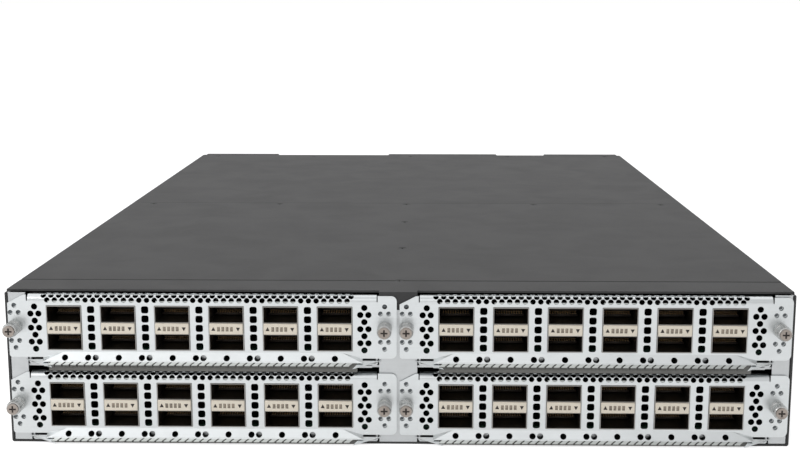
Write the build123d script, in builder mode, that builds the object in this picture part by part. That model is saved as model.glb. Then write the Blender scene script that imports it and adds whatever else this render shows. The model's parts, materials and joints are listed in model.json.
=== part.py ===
from build123d import *
from math import sqrt
import os

# A two-unit rack switch: a sheet metal chassis with four pull-out port modules at the front,
# and two fan trays, four power supplies and a management panel at the rear. Millimetres.
# The front faces -Y, +Z is up, and the origin is the middle of the chassis's underside.

# Sheet thicknesses
chassis_sheet = 1.2
rail_sheet = 1.2
plate_sheet = 1.2
tray_sheet = 1.0
bend_size = 0.8

# Clearances
slide_fit = 0.3
cage_fit = 0.2
screw_fit = 0.1
pin_fit = 0.06

# Port modules
port_columns = 6
port_pitch = 30.3
port_width = 18.8
port_height = 8.8
port_depth = 44.0
port_shift = -1.5
cage_wall = 0.4
cage_back = 8.0
cage_proud = 0.4
light_bar_height = 6.2
light_bar_depth = 1.2
board_thickness = 1.6
board_margin = 3.0
board_setback = 3.0
standoff_height = 5.8
standoff_radius = 3.5
standoff_inset = 24.0
standoff_end = 55.0
standoff_rows = 2
tray_wall = 12.0
tray_side_gap = 0.8
module_connector_width = 62.0
module_connector_spread = 42.0
module_connector_height = 14.0
module_connector_depth = 16.0
chip_size = 30.0
chip_height = 3.0

# Module faceplates
vent_offset = 6.5
screw_offset = 11.3
ear_margin = 5.25
ear_overlap = 9.9
ear_bottom = 4.5
ear_bevel = 2.0
ear_cut_width = 9.0
ear_cut_height = 4.7
plate_top_margin = 5.3
top_flange_depth = 5.0
flange_end_gap = 1.3
lip_margin = 0.9
lip_reach = 3.2
lip_inset = 2.5
lip_end_slope = 8.5
bottom_flange_depth = 14.0
square_vent = 3.7
square_vent_pitch = 5.25
square_vent_rows = 5
gasket_sheet = 0.4
gasket_drop = 2.1
gasket_width = 2.6
gasket_inset = 0.6

# Captive screws
knob_radius = 4.1
knob_length = 12.0
knob_sides = 10
shank_radius = 1.75
shank_reach = 4.0
shank_sides = 8
hole_sides = 6

# Chassis
chassis_depth = 660.0
plate_gap = 1.6
side_reveal = 1.6
shelf_gap = 3.7
cover_gap = 1.6
cover_setback = 4.0
cover_flange = 10.0
cover_lap = 12.0
cover_bead_inset = 26.0
cover_bead_width = 1.4
cover_bead_depth = 0.4
cover_tab_height = 9.0
rear_eave = 10.0
post_leg = 24.0
shelf_flange = 8.0
shelf_lands = [(-70.0, 40.0), (69.0, 52.0)]
divider_flange = 14.0
rack_hole_radius = 2.1
rack_hole_inset = 32.0
rack_hole_spacing = 50.0

# Midplane, switch board and heat sink
midplane_thickness = 3.0
midplane_connector_depth = 12.0
midplane_vent_width = 150.0
midplane_vent_height = 14.0
switch_board_thickness = 2.0
switch_board_height = 12.0
switch_board_gap = 18.8
switch_board_depth = 132.4
boss_radius = 4.0
switch_chip_size = 56.0
dock_width = 40.0
dock_depth = 12.0
dock_height = 52.0
switch_chip_height = 4.0
heat_sink_width = 120.0
heat_sink_depth = 88.0
heat_sink_base = 5.0
heat_sink_top = 76.0
fin_count = 9
fin_thickness = 1.4

# Rear bays
psu_width = 76.0
psu_depth = 195.0
management_width = 48.0
bay_stop = 4.0
partition_flange = 9.0
inlet_width = 25.0
inlet_height = 17.0
inlet_depth = 16.0
inlet_cut = 4.5
inlet_offset = 19.5
psu_fan_radius = 14.0
psu_fan_recess = 5.0
psu_fan_hub = 6.5
psu_fan_offset = 16.0
psu_fan_sides = 12
handle_reach = 25.0
handle_height = 31.0
handle_width = 8.0
handle_sheet = 2.0
handle_bend = 4.0
handle_offset = 2.5
latch_sheet = 1.6
latch_height = 12.0
latch_pivot_depth = 15.0
latch_reach = 13.0
latch_pad = 7.0
latch_pin_radius = 1.2
latch_pin_reach = 2.0
latch_pocket = 4.6
latch_wall = 0.8
latch_gap = 0.6
latch_tail = 3.0

# Fan trays
fan_tray_depth = 64.0
fan_size = 80.0
fan_depth = 32.0
fan_bore = 76.0
fan_bore_sides = 16
guard_ring_width = 2.0
guard_ring_count = 1
guard_hub_radius = 16.0
guard_spoke = 3.0
rotor_hub_radius = 15.5
rotor_gap = 1.0
rotor_hub_sides = 12
blade_count = 5
blade_thickness = 1.6
blade_root_chord = 18.0
blade_tip_chord = 26.0
blade_angle = 30.0
rotor_shaft_radius = 2.5
motor_plate = 4.0
fan_fitting_x = 47.0
fan_tab_width = 11.0
fan_tab_height = 13.0

# Management panel
jack_width = 13.5
jack_height = 12.0
jack_depth = 12.0
jack_wall = 1.6
jack_pitch = 19.0
jack_count = 3
jack_middle = 58.0
panel_floor = 30.0
panel_vent = 5.0
panel_vent_pitch = 8.5
panel_vent_columns = 3
panel_vent_rows = 2
panel_vent_middle = 20.0

# Sizes that follow from those above
cage_width = port_width + 2 * cage_wall
cage_height = 2 * port_height + light_bar_height + 4 * cage_wall
window_width = cage_width + 2 * cage_fit
window_height = cage_height + 2 * cage_fit
port_span = (port_columns - 1) * port_pitch
vent_x = port_span / 2 + window_width / 2 + vent_offset
screw_x = vent_x + screw_offset
plate_half = screw_x + ear_margin
opening_half = plate_half - ear_overlap
tray_half = opening_half - tray_side_gap
lip_half = vent_x - lip_inset
lip_bottom = slide_fit + tray_sheet
board_bottom = lip_bottom + standoff_height
board_top = board_bottom + board_thickness
window_middle = board_top + cage_height / 2
lip_top = board_top - cage_fit - lip_margin
face_top = board_top + cage_height + cage_fit + plate_top_margin
screw_height = (ear_bottom + face_top) / 2
slot_x = plate_gap / 2 + plate_half

chassis_width = 4 * plate_half + plate_gap + 2 * side_reveal
inner_half = chassis_width / 2 - chassis_sheet
lower_floor = chassis_sheet
upper_floor = lower_floor + face_top + shelf_gap + rail_sheet
cover_under = upper_floor + face_top + cover_gap
chassis_height = cover_under + chassis_sheet
front_y = -chassis_depth / 2
rear_y = chassis_depth / 2
face_y = front_y - plate_sheet
cage_front_y = face_y - cage_proud
bay_y = rear_y - psu_depth - bay_stop
midplane_back_y = bay_y - switch_board_depth - 2 * slide_fit
midplane_y = midplane_back_y - midplane_thickness
connector_y = midplane_y - midplane_connector_depth - slide_fit
seam_y = midplane_y
cover_front_y = front_y + cover_setback
tongue_y = seam_y - cover_lap
tab_bottom = cover_under - cover_tab_height

bay_floor = chassis_sheet + tray_sheet
bay_top = cover_under - tray_sheet
tray_bottom = bay_floor + slide_fit
tray_height = bay_top - bay_floor - 2 * slide_fit
psu_height = (tray_height - tray_sheet - 2 * slide_fit) / 2
psu_outer = inner_half - chassis_sheet - 2 * slide_fit
psu_x = psu_outer - psu_width / 2
psu_wall = psu_outer - psu_width - slide_fit
fan_left = -psu_wall + tray_sheet
fan_right = psu_wall - 2 * tray_sheet - management_width
fan_bay = (fan_right - fan_left - tray_sheet) / 2
fan_width = fan_bay - 2 * slide_fit
fan_xs = [fan_left + fan_bay / 2, fan_right - fan_bay / 2]
fan_z = tray_bottom + tray_height / 2
fan_back_y = rear_y - tray_sheet
partitions = [(-psu_wall, 1), (fan_left + fan_bay, 1), (fan_right, 1), (psu_wall, -1)]
rotor_depth = fan_depth - motor_plate - 2 * rotor_gap
blade_tip_radius = sqrt((fan_bore / 2 - rotor_gap) ** 2 - (blade_tip_chord / 2) ** 2)
fan_screw_z = bay_floor + fan_tab_height / 2
latch_pin_x = latch_wall + latch_gap + latch_sheet / 2 - psu_width / 2
latch_pin_y = rear_y - latch_pivot_depth
psu_floors = [tray_bottom, tray_bottom + psu_height + tray_sheet + 2 * slide_fit]
management_x = fan_right + tray_sheet + management_width / 2
switch_board_width = 2 * (inner_half - switch_board_gap)
switch_board_y = midplane_back_y + slide_fit + switch_board_depth / 2
switch_board_top = switch_board_height + switch_board_thickness
heat_sink_bottom = switch_board_top + switch_chip_height
connector_xs = [port_shift - module_connector_spread, port_shift + module_connector_spread]
connector_middle = board_top + module_connector_height / 2
midplane_vent_middle = (board_top + module_connector_height + face_top) / 2
board_front_y = front_y + board_setback
board_rear_y = connector_y - board_margin
flange_half = opening_half - flange_end_gap
rear_eaves = [(-psu_x, psu_width), (fan_xs[1], fan_width), (psu_x, psu_width)]
rack_hole_y = front_y + rack_hole_inset + rack_hole_spacing / 2
rack_hole_z = chassis_height / 2

columns = {"left": -slot_x, "right": slot_x}
rows = {"lower": lower_floor, "upper": upper_floor}
slots = [(f"{row}_{side}", x, z) for row, z in rows.items() for side, x in columns.items()]
port_xs = [port_shift + (i - (port_columns - 1) / 2) * port_pitch for i in range(port_columns)]
strip_xs = [(a + b) / 2 for a, b in zip(port_xs, port_xs[1:])]
screw_points = [
    (x + port_shift + side * screw_x, z + screw_height) for _, x, z in slots for side in (-1, 1)
]

os.makedirs("parts", exist_ok=True)


def facing_front(x=0, y=0, z=0):
    """A sketch plane seen from the front, whose extrusions come towards the viewer."""
    return Plane(origin=(x, y, z), x_dir=(1, 0, 0), z_dir=(0, -1, 0))


def facing_rear(x=0, y=0, z=0):
    """A sketch plane seen from the rear, whose extrusions go backwards."""
    return Plane(origin=(x, y, z), x_dir=(-1, 0, 0), z_dir=(0, 1, 0))


def facing_side(x=0, y=0, z=0):
    """A sketch plane seen from the left end, with +Y to the right, extruding towards +X."""
    return Plane(origin=(x, y, z), x_dir=(0, 1, 0), z_dir=(1, 0, 0))


def folded(*points, sheet, side=Side.LEFT, bend=bend_size):
    """The section of a folded sheet, its outer face along the points, with a flat facet at each bend."""
    corners = [Vector(*point) for point in points]
    path = [corners[0]]
    for before, corner, after in zip(corners, corners[1:], corners[2:]):
        path.append(corner + (before - corner).normalized() * bend)
        path.append(corner + (after - corner).normalized() * bend)
    path.append(corners[-1])
    with BuildLine() as section:
        Polyline(*path)
        offset(amount=sheet, side=side, kind=Kind.INTERSECTION)
    return section.edges()


def finish(piece, label):
    """Labels a finished piece and writes it."""
    piece.part.label = label
    export_step(piece.part, f"parts/{label}.step")


# Chassis tray: floor and sides in one folded sheet, with bosses for the switch board
side_top = cover_under
boss_xs = switch_board_width / 2 - 2 * boss_radius
with BuildPart() as chassis_tray:
    with BuildSketch(facing_front(y=rear_y)):
        make_face(
            folded(
                (-chassis_width / 2, side_top),
                (-chassis_width / 2, 0),
                (chassis_width / 2, 0),
                (chassis_width / 2, side_top),
                sheet=chassis_sheet,
            )
        )
    extrude(amount=chassis_depth)
    with BuildSketch(facing_side(y=rack_hole_y, z=rack_hole_z)):
        with GridLocations(rack_hole_spacing, 0, 2, 1):
            Circle(rack_hole_radius)
    extrude(amount=chassis_width, both=True, mode=Mode.SUBTRACT)
    with BuildSketch(Plane((0, switch_board_y, chassis_sheet))):
        with GridLocations(2 * boss_xs, switch_board_depth - 4 * boss_radius, 2, 2):
            Rectangle(2 * boss_radius, 2 * boss_radius)
    extrude(amount=switch_board_height - chassis_sheet)
finish(chassis_tray, "chassis_tray")

# Front posts: an angle on each side wall, drilled for the captive screws
with BuildPart() as side_posts:
    with BuildSketch(Plane((0, 0, chassis_sheet + slide_fit))):
        make_face(
            folded(
                (slot_x + opening_half, front_y),
                (inner_half, front_y),
                (inner_half, front_y + post_leg),
                sheet=rail_sheet,
            )
        )
    extrude(amount=cover_under - chassis_sheet - slide_fit)
    mirror(about=Plane.YZ)
    with BuildSketch(facing_front(y=front_y)):
        with Locations(*screw_points):
            RegularPolygon(shank_radius + 2 * screw_fit, hole_sides, major_radius=False)
    extrude(amount=-2 * rail_sheet, mode=Mode.SUBTRACT)
finish(side_posts, "side_posts")

# Centre divider: a web between the slot columns, with a front post and a top flange for the cover
with BuildPart() as centre_divider:
    with BuildSketch(Plane((0, front_y, chassis_sheet))):
        Rectangle(rail_sheet, tongue_y - slide_fit - front_y, align=(Align.CENTER, Align.MIN))
    extrude(amount=cover_under - chassis_sheet)
    with BuildSketch(Plane((0, front_y, chassis_sheet))):
        Rectangle(2 * (slot_x - opening_half), rail_sheet, align=(Align.CENTER, Align.MIN))
    extrude(amount=tab_bottom - chassis_sheet)
    with BuildSketch(facing_front(y=front_y)):
        with Locations(*screw_points):
            RegularPolygon(shank_radius + 2 * screw_fit, hole_sides, major_radius=False)
        with Locations((0, cover_under)):
            Rectangle(2 * plate_half, 2 * cover_tab_height)
    extrude(amount=-rail_sheet, mode=Mode.SUBTRACT)
    with BuildSketch(Plane((0, cover_front_y, cover_under))):
        Rectangle(divider_flange, tongue_y - slide_fit - cover_front_y, align=(Align.CENTER, Align.MIN))
    extrude(amount=-rail_sheet)
finish(centre_divider, "centre_divider")

# Shelves between the lower and upper slots, with two front lands that the module gaskets meet
with BuildPart() as slot_shelves:
    for side in (-1, 1):
        with BuildSketch(facing_front(y=tongue_y - slide_fit, z=upper_floor)):
            make_face(
                folded(
                    (side * rail_sheet / 2, -shelf_flange),
                    (side * rail_sheet / 2, 0),
                    (side * (inner_half - rail_sheet), 0),
                    (side * (inner_half - rail_sheet), -shelf_flange),
                    sheet=rail_sheet,
                    side=Side.RIGHT if side > 0 else Side.LEFT,
                )
            )
        extrude(amount=tongue_y - front_y - rail_sheet - 2 * slide_fit)
        with BuildSketch(Plane((side * slot_x, front_y, upper_floor))):
            for land_middle, land_width in shelf_lands:
                with Locations((land_middle, 0)):
                    Rectangle(land_width, 2 * rail_sheet, align=(Align.CENTER, Align.MIN))
        extrude(amount=-rail_sheet)
finish(slot_shelves, "slot_shelves")

# Covers: the front one over the slots, the rear one with a tongue under it and eaves at the back
with BuildPart() as front_cover:
    with BuildSketch(Plane((0, cover_front_y, cover_under))):
        Rectangle(chassis_width, seam_y - cover_front_y, align=(Align.CENTER, Align.MIN))
        Rectangle(2 * (slot_x - opening_half), 2 * cover_setback)
    extrude(amount=chassis_sheet)
    with BuildSketch(Plane((0, front_y, chassis_height))):
        Rectangle(2 * (slot_x - opening_half), chassis_sheet, align=(Align.CENTER, Align.MIN))
    extrude(amount=-chassis_sheet - cover_tab_height)
    for side in (-1, 1):
        with BuildSketch(Plane((side * (inner_half - slide_fit), tongue_y - slide_fit, cover_under))):
            Rectangle(
                chassis_sheet,
                tongue_y - front_y - post_leg - 2 * slide_fit,
                align=(Align.MAX if side > 0 else Align.MIN, Align.MAX),
            )
        extrude(amount=-cover_flange)
    with BuildSketch(Plane((0, cover_front_y + cover_bead_inset, chassis_height))):
        Rectangle(chassis_width, cover_bead_width)
    extrude(amount=-cover_bead_depth, mode=Mode.SUBTRACT)
finish(front_cover, "front_cover")

with BuildPart() as rear_cover:
    with BuildSketch(Plane((0, seam_y + slide_fit, cover_under))):
        Rectangle(chassis_width, rear_y - seam_y - slide_fit, align=(Align.CENTER, Align.MIN))
    extrude(amount=chassis_sheet)
    with BuildSketch(Plane((0, rear_y, cover_under))):
        for middle, width in rear_eaves:
            with Locations((middle, 0)):
                Rectangle(width, 2 * rear_eave)
    extrude(amount=chassis_sheet)
    with BuildSketch(Plane((0, seam_y, cover_under))):
        Rectangle(2 * (inner_half - slide_fit), 2 * cover_lap)
    extrude(amount=-chassis_sheet)
    for side in (-1, 1):
        with BuildSketch(Plane((side * (inner_half - slide_fit), seam_y + cover_lap, cover_under))):
            Rectangle(
                chassis_sheet,
                rear_y - seam_y - cover_lap,
                align=(Align.MAX if side > 0 else Align.MIN, Align.MIN),
            )
        extrude(amount=-cover_flange)
finish(rear_cover, "rear_cover")

# Midplane: a board across the chassis, with a pair of connectors for each module and air slots
with BuildPart() as midplane:
    with BuildSketch(facing_front(y=midplane_back_y, z=chassis_sheet + slide_fit)):
        Rectangle(
            2 * (inner_half - slide_fit),
            cover_under - 2 * chassis_sheet - 2 * slide_fit,
            align=(Align.CENTER, Align.MIN),
        )
    extrude(amount=midplane_thickness)
    with BuildSketch(facing_front(y=midplane_back_y)):
        with Locations(*[(x, z + midplane_vent_middle) for _, x, z in slots]):
            Rectangle(midplane_vent_width, midplane_vent_height)
    extrude(amount=midplane_thickness, mode=Mode.SUBTRACT)
    with BuildSketch(facing_front(y=midplane_y)):
        with Locations(*[(x + dx, z + connector_middle) for _, x, z in slots for dx in connector_xs]):
            Rectangle(module_connector_width, module_connector_height)
    extrude(amount=midplane_connector_depth)
finish(midplane, "midplane")

# Switch board behind the midplane, with its chip and the power docks, and the finned heat sink on the chip
with BuildPart() as switch_board:
    with BuildSketch(Plane((0, switch_board_y, switch_board_height))):
        Rectangle(switch_board_width, switch_board_depth)
    extrude(amount=switch_board_thickness)
    with BuildSketch(Plane((0, switch_board_y, switch_board_top))):
        Rectangle(switch_chip_size, switch_chip_size)
    extrude(amount=switch_chip_height)
    with BuildSketch(Plane((0, bay_y + bay_stop - slide_fit, switch_board_top))):
        with Locations((-psu_x, 0), (psu_x, 0)):
            Rectangle(dock_width, dock_depth + bay_stop, align=(Align.CENTER, Align.MAX))
    extrude(amount=dock_height)
finish(switch_board, "switch_board")

with BuildPart() as heat_sink:
    with BuildSketch(Plane((0, switch_board_y, heat_sink_bottom))):
        Rectangle(heat_sink_width, heat_sink_depth)
    extrude(amount=heat_sink_base)
    with BuildSketch(Plane((0, switch_board_y, heat_sink_bottom + heat_sink_base))):
        with GridLocations((heat_sink_width - fin_thickness) / (fin_count - 1), 0, fin_count, 1):
            Rectangle(fin_thickness, heat_sink_depth)
    extrude(amount=heat_sink_top - heat_sink_bottom - heat_sink_base)
finish(heat_sink, "heat_sink")

# Rear bay frame: a base, partitions with top flanges and a shelf between each pair of power supplies
with BuildPart() as bay_frame:
    with BuildSketch(Plane((0, bay_y, chassis_sheet))):
        Rectangle(2 * (inner_half - bend_size), rear_y - bay_y, align=(Align.CENTER, Align.MIN))
    extrude(amount=tray_sheet)
    for x, way in partitions:
        with BuildSketch(facing_front(x=x, y=rear_y)):
            make_face(
                folded(
                    (0, chassis_sheet),
                    (0, cover_under),
                    (way * partition_flange, cover_under),
                    sheet=tray_sheet,
                    side=Side.RIGHT if way > 0 else Side.LEFT,
                )
            )
        extrude(amount=rear_y - bay_y)
    for side in (-1, 1):
        with BuildSketch(Plane((side * psu_wall, rear_y, psu_floors[1] - slide_fit - tray_sheet))):
            Rectangle(
                inner_half - psu_wall,
                psu_depth,
                align=(Align.MIN if side > 0 else Align.MAX, Align.MAX),
            )
        extrude(amount=tray_sheet)
    with BuildSketch(facing_front(y=fan_back_y - screw_fit, z=chassis_sheet)):
        with Locations(*[(x + fan_fitting_x, 0) for x in fan_xs]):
            Rectangle(fan_tab_width, fan_tab_height + tray_sheet, align=(Align.CENTER, Align.MIN))
    extrude(amount=tray_sheet)
    with BuildSketch(facing_front(y=fan_back_y)):
        with Locations(*[(x + fan_fitting_x, fan_screw_z) for x in fan_xs]):
            RegularPolygon(shank_radius + 2 * screw_fit, hole_sides, major_radius=False)
    extrude(amount=2 * tray_sheet, mode=Mode.SUBTRACT)
finish(bay_frame, "bay_frame")

# Management panel: a bent plate with a column of jacks and a vent field
with BuildPart() as management_panel:
    with BuildSketch(facing_side(x=management_x)):
        make_face(
            folded(
                (rear_y - panel_floor, bay_floor),
                (rear_y, bay_floor),
                (rear_y, bay_top - slide_fit),
                sheet=tray_sheet,
            )
        )
    extrude(amount=management_width / 2 - slide_fit, both=True)
    with BuildSketch(facing_front(management_x, rear_y - tray_sheet, jack_middle)):
        with GridLocations(0, jack_pitch, 1, jack_count):
            Rectangle(jack_width + 2 * jack_wall, jack_height + 2 * jack_wall)
    extrude(amount=jack_depth)
    with BuildSketch(facing_front(management_x, rear_y, jack_middle)):
        with GridLocations(0, jack_pitch, 1, jack_count):
            Rectangle(jack_width, jack_height)
    extrude(amount=jack_depth, mode=Mode.SUBTRACT)
    with BuildSketch(facing_front(management_x, rear_y, panel_vent_middle)):
        with GridLocations(panel_vent_pitch, panel_vent_pitch, panel_vent_columns, panel_vent_rows):
            Rectangle(panel_vent, panel_vent)
    extrude(amount=2 * tray_sheet, mode=Mode.SUBTRACT)
finish(management_panel, "management_panel")


def captive_screw(plane, label):
    """A captive thumb screw, with its knob outside the plane and its shank through the sheet behind."""
    with BuildPart() as screw:
        with BuildSketch(plane.offset(screw_fit)):
            RegularPolygon(knob_radius, knob_sides)
        extrude(amount=knob_length)
        with BuildSketch(plane.offset(screw_fit)):
            RegularPolygon(shank_radius, shank_sides)
        extrude(amount=-screw_fit - plate_sheet - rail_sheet - shank_reach)
    finish(screw, label)


def faceplate(name, x, z):
    """The plated front of a module: ears, a bent top flange and a lip that kicks out along the bottom."""
    crease = lip_half - lip_end_slope
    bend_top = face_top - 2 * bend_size
    with BuildPart() as plate:
        with BuildSketch(facing_front(x, front_y, z)) as face:
            with BuildLine():
                Polyline(
                    (-plate_half, ear_bottom),
                    (-lip_half, ear_bottom),
                    (-crease, lip_top),
                    (crease, lip_top),
                    (lip_half, ear_bottom),
                    (plate_half, ear_bottom),
                    (plate_half, face_top),
                    (flange_half, face_top),
                    (flange_half, bend_top),
                    (-flange_half, bend_top),
                    (-flange_half, face_top),
                    (ear_cut_width - plate_half, face_top),
                    (-plate_half, face_top - ear_cut_height),
                    close=True,
                )
            make_face()
            chamfer(face.vertices().group_by(Axis.X)[-1], ear_bevel)
            with Locations(*[(dx, window_middle) for dx in port_xs]):
                Rectangle(window_width, window_height, mode=Mode.SUBTRACT)
            for dx in strip_xs:
                with Locations((dx, window_middle)):
                    with GridLocations(0, square_vent_pitch, 1, square_vent_rows):
                        Rectangle(square_vent, square_vent, mode=Mode.SUBTRACT)
            for side in (-1, 1):
                with Locations((port_shift + side * screw_x, screw_height)):
                    RegularPolygon(
                        shank_radius + screw_fit, hole_sides, major_radius=False, mode=Mode.SUBTRACT
                    )
        extrude(amount=plate_sheet)
        with BuildSketch(facing_side(x, face_y, z)):
            make_face(folded((top_flange_depth, face_top), (0, face_top), (0, bend_top), sheet=plate_sheet))
        extrude(amount=flange_half, both=True)
        with BuildSketch(facing_side(x, face_y, z)):
            make_face(
                folded(
                    (0, lip_top + lip_margin),
                    (0, lip_top),
                    (-lip_reach, lip_bottom),
                    (plate_sheet + bottom_flange_depth, lip_bottom),
                    sheet=plate_sheet,
                )
            )
        extrude(amount=lip_half, both=True)
        with BuildSketch(facing_front(x, face_y, z)):
            for side in (-1, 1):
                with BuildLine():
                    Polyline(
                        (side * crease, lip_top),
                        (side * plate_half, lip_top),
                        (side * plate_half, lip_bottom),
                        (side * lip_half, lip_bottom),
                        close=True,
                    )
                make_face()
        extrude(amount=lip_reach, mode=Mode.SUBTRACT)
    finish(plate, f"faceplate_{name}")


def module_tray(name, x, z):
    """The folded tray that carries a module's board on four standoffs."""
    standoff_pitch = board_rear_y - board_front_y - 2 * standoff_end
    with BuildPart() as tray:
        with BuildSketch(facing_front(x, board_rear_y, z)):
            make_face(
                folded(
                    (-tray_half, slide_fit + tray_wall),
                    (-tray_half, slide_fit),
                    (tray_half, slide_fit),
                    (tray_half, slide_fit + tray_wall),
                    sheet=tray_sheet,
                )
            )
        extrude(amount=board_rear_y - front_y)
        with BuildSketch(Plane((x, (board_front_y + board_rear_y) / 2, z + lip_bottom))):
            with GridLocations(2 * tray_half - standoff_inset, standoff_pitch, 2, standoff_rows):
                Rectangle(2 * standoff_radius, 2 * standoff_radius)
        extrude(amount=standoff_height)
    finish(tray, f"module_tray_{name}")


def module_board(name, x, z):
    """A module's board, with its chip and the two connectors at its rear edge."""
    board_length = board_rear_y - board_front_y
    with BuildPart() as board:
        with BuildSketch(Plane((x, board_front_y, z + board_bottom))):
            Rectangle(2 * (tray_half - board_margin), board_length, align=(Align.CENTER, Align.MIN))
        extrude(amount=board_thickness)
        with BuildSketch(Plane((x, connector_y, z + board_top))):
            with Locations(*[(dx, 0) for dx in connector_xs]):
                Rectangle(
                    module_connector_width, module_connector_depth, align=(Align.CENTER, Align.MAX)
                )
        extrude(amount=module_connector_height)
        with BuildSketch(Plane((x, (board_front_y + board_rear_y) / 2, z + board_top))):
            Rectangle(chip_size, chip_size)
        extrude(amount=chip_height)
    finish(board, f"module_board_{name}")


def port_cages(name, x, z):
    """The stacked cages, each with an upper and a lower port."""
    port_rise = (light_bar_height + port_height) / 2 + cage_wall
    with BuildPart() as cages:
        with BuildSketch(facing_front(x, cage_front_y, z)):
            with Locations(*[(dx, window_middle) for dx in port_xs]):
                Rectangle(cage_width, cage_height)
        extrude(amount=-port_depth - cage_back)
        with BuildSketch(facing_front(x, cage_front_y, z)):
            for rise in (-port_rise, port_rise):
                with Locations(*[(dx, window_middle + rise) for dx in port_xs]):
                    Rectangle(port_width, port_height)
        extrude(amount=-port_depth, mode=Mode.SUBTRACT)
    finish(cages, f"port_cages_{name}")


def light_bars(name, x, z):
    """The moulded light bars on the cages, between the upper and lower ports."""
    with BuildPart() as bars:
        with BuildSketch(facing_front(x, cage_front_y, z)):
            with Locations(*[(dx, window_middle) for dx in port_xs]):
                Rectangle(port_width, light_bar_height)
        extrude(amount=light_bar_depth)
    finish(bars, f"light_bars_{name}")


def gasket(name, x, z):
    """The spring gasket strip under a module's lip."""
    with BuildPart() as strip:
        with BuildSketch(facing_side(x, face_y, z)):
            make_face(
                folded(
                    (gasket_inset, lip_bottom),
                    (gasket_inset - gasket_width, lip_bottom),
                    (-gasket_inset, lip_bottom - gasket_drop),
                    sheet=gasket_sheet,
                    bend=gasket_sheet,
                )
            )
        extrude(amount=lip_half - lip_end_slope, both=True)
    finish(strip, f"gasket_{name}")


for name, x, z in slots:
    faceplate(name, x, z)
    module_tray(name, x, z)
    module_board(name, x, z)
    port_cages(name, x, z)
    light_bars(name, x, z)
    gasket(name, x, z)
    for side, label in ((-1, "left"), (1, "right")):
        captive_screw(
            facing_front(x + port_shift + side * screw_x, face_y, z + screw_height),
            f"screw_{label}_{name}",
        )


def strap_section():
    """The section of a pull strap: a U that stands on a rear face, in a plane with +Y to the right."""
    return folded(
        (0, -handle_height / 2),
        (handle_reach, -handle_height / 2),
        (handle_reach, handle_height / 2),
        (0, handle_height / 2),
        sheet=handle_sheet,
        bend=handle_bend,
    )


# One rotor blade: a flat plate that stands on the hub along +X, pitched to the rotor's axis on Z
blade_plane = Plane((0, 0, rotor_depth / 2)).rotated((blade_angle, 0, 0))
with BuildPart() as blade:
    with BuildSketch(blade_plane):
        with BuildLine():
            Polyline(
                (rotor_hub_radius - blade_thickness, -blade_root_chord / 2),
                (blade_tip_radius, -blade_tip_chord / 2),
                (blade_tip_radius, blade_tip_chord / 2),
                (rotor_hub_radius - blade_thickness, blade_root_chord / 2),
                close=True,
            )
        make_face()
    extrude(amount=blade_thickness / 2, both=True)


def fan_tray(name, x):
    """A fan tray's sheet: face and cheeks in one fold, a ringed guard and a pull strap."""
    ring_pitch = (fan_bore / 2 - guard_hub_radius) / (guard_ring_count + 1)
    with BuildPart() as tray:
        with BuildSketch(Plane((x, rear_y, tray_bottom))):
            make_face(
                folded(
                    (fan_width / 2, -fan_tray_depth),
                    (fan_width / 2, 0),
                    (-fan_width / 2, 0),
                    (-fan_width / 2, -fan_tray_depth),
                    sheet=tray_sheet,
                )
            )
        extrude(amount=tray_height)
        with BuildSketch(facing_front(x, rear_y, fan_z)):
            RegularPolygon(fan_bore / 2, fan_bore_sides)
            for ring in range(guard_ring_count, 0, -1):
                RegularPolygon(guard_hub_radius + ring * ring_pitch, fan_bore_sides, mode=Mode.SUBTRACT)
                RegularPolygon(guard_hub_radius + ring * ring_pitch - guard_ring_width, fan_bore_sides)
            RegularPolygon(guard_hub_radius, fan_bore_sides, mode=Mode.SUBTRACT)
            Rectangle(fan_bore, guard_spoke, mode=Mode.SUBTRACT)
            Rectangle(guard_spoke, fan_bore, mode=Mode.SUBTRACT)
        extrude(amount=tray_sheet, mode=Mode.SUBTRACT)
        with BuildSketch(facing_front(x + fan_fitting_x, rear_y, fan_screw_z)):
            RegularPolygon(shank_radius + screw_fit, hole_sides, major_radius=False)
        extrude(amount=tray_sheet, mode=Mode.SUBTRACT)
        with BuildSketch(facing_side(x - fan_fitting_x, rear_y, fan_z)):
            make_face(strap_section())
        extrude(amount=handle_width / 2, both=True)
    finish(tray, f"fan_tray_{name}")


def fan_housing(name, x):
    """A fan's square frame, with the motor plate on four struts at its inner end."""
    with BuildPart() as housing:
        with BuildSketch(facing_front(x, fan_back_y, fan_z)):
            Rectangle(fan_size, fan_size)
            RegularPolygon(fan_bore / 2, fan_bore_sides, mode=Mode.SUBTRACT)
        extrude(amount=fan_depth)
        with BuildSketch(facing_front(x, fan_back_y - fan_depth + motor_plate, fan_z)):
            RegularPolygon(rotor_hub_radius, rotor_hub_sides)
            for angle in (45, 135):
                Rectangle(fan_bore, guard_spoke, rotation=angle)
            RegularPolygon(
                rotor_shaft_radius + pin_fit, hole_sides, major_radius=False, mode=Mode.SUBTRACT
            )
        extrude(amount=motor_plate)
    finish(housing, f"fan_housing_{name}")


def fan_rotor(name, x):
    """A fan's rotor: hub, shaft and pitched blades."""
    rotor_plane = facing_front(x, fan_back_y - rotor_gap, fan_z)
    with BuildPart(rotor_plane) as rotor:
        with BuildSketch(rotor_plane):
            RegularPolygon(rotor_hub_radius, rotor_hub_sides)
        extrude(amount=rotor_depth)
        with BuildSketch(rotor_plane):
            RegularPolygon(rotor_shaft_radius, shank_sides)
        extrude(amount=rotor_depth + rotor_gap + motor_plate)
        with PolarLocations(0, blade_count):
            add(blade.part)
    finish(rotor, f"fan_rotor_{name}")


for name, x in zip(("left", "right"), fan_xs):
    fan_tray(name, x)
    fan_housing(name, x)
    fan_rotor(name, x)
    captive_screw(facing_rear(x + fan_fitting_x, rear_y, fan_screw_z), f"fan_screw_{name}")


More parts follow.
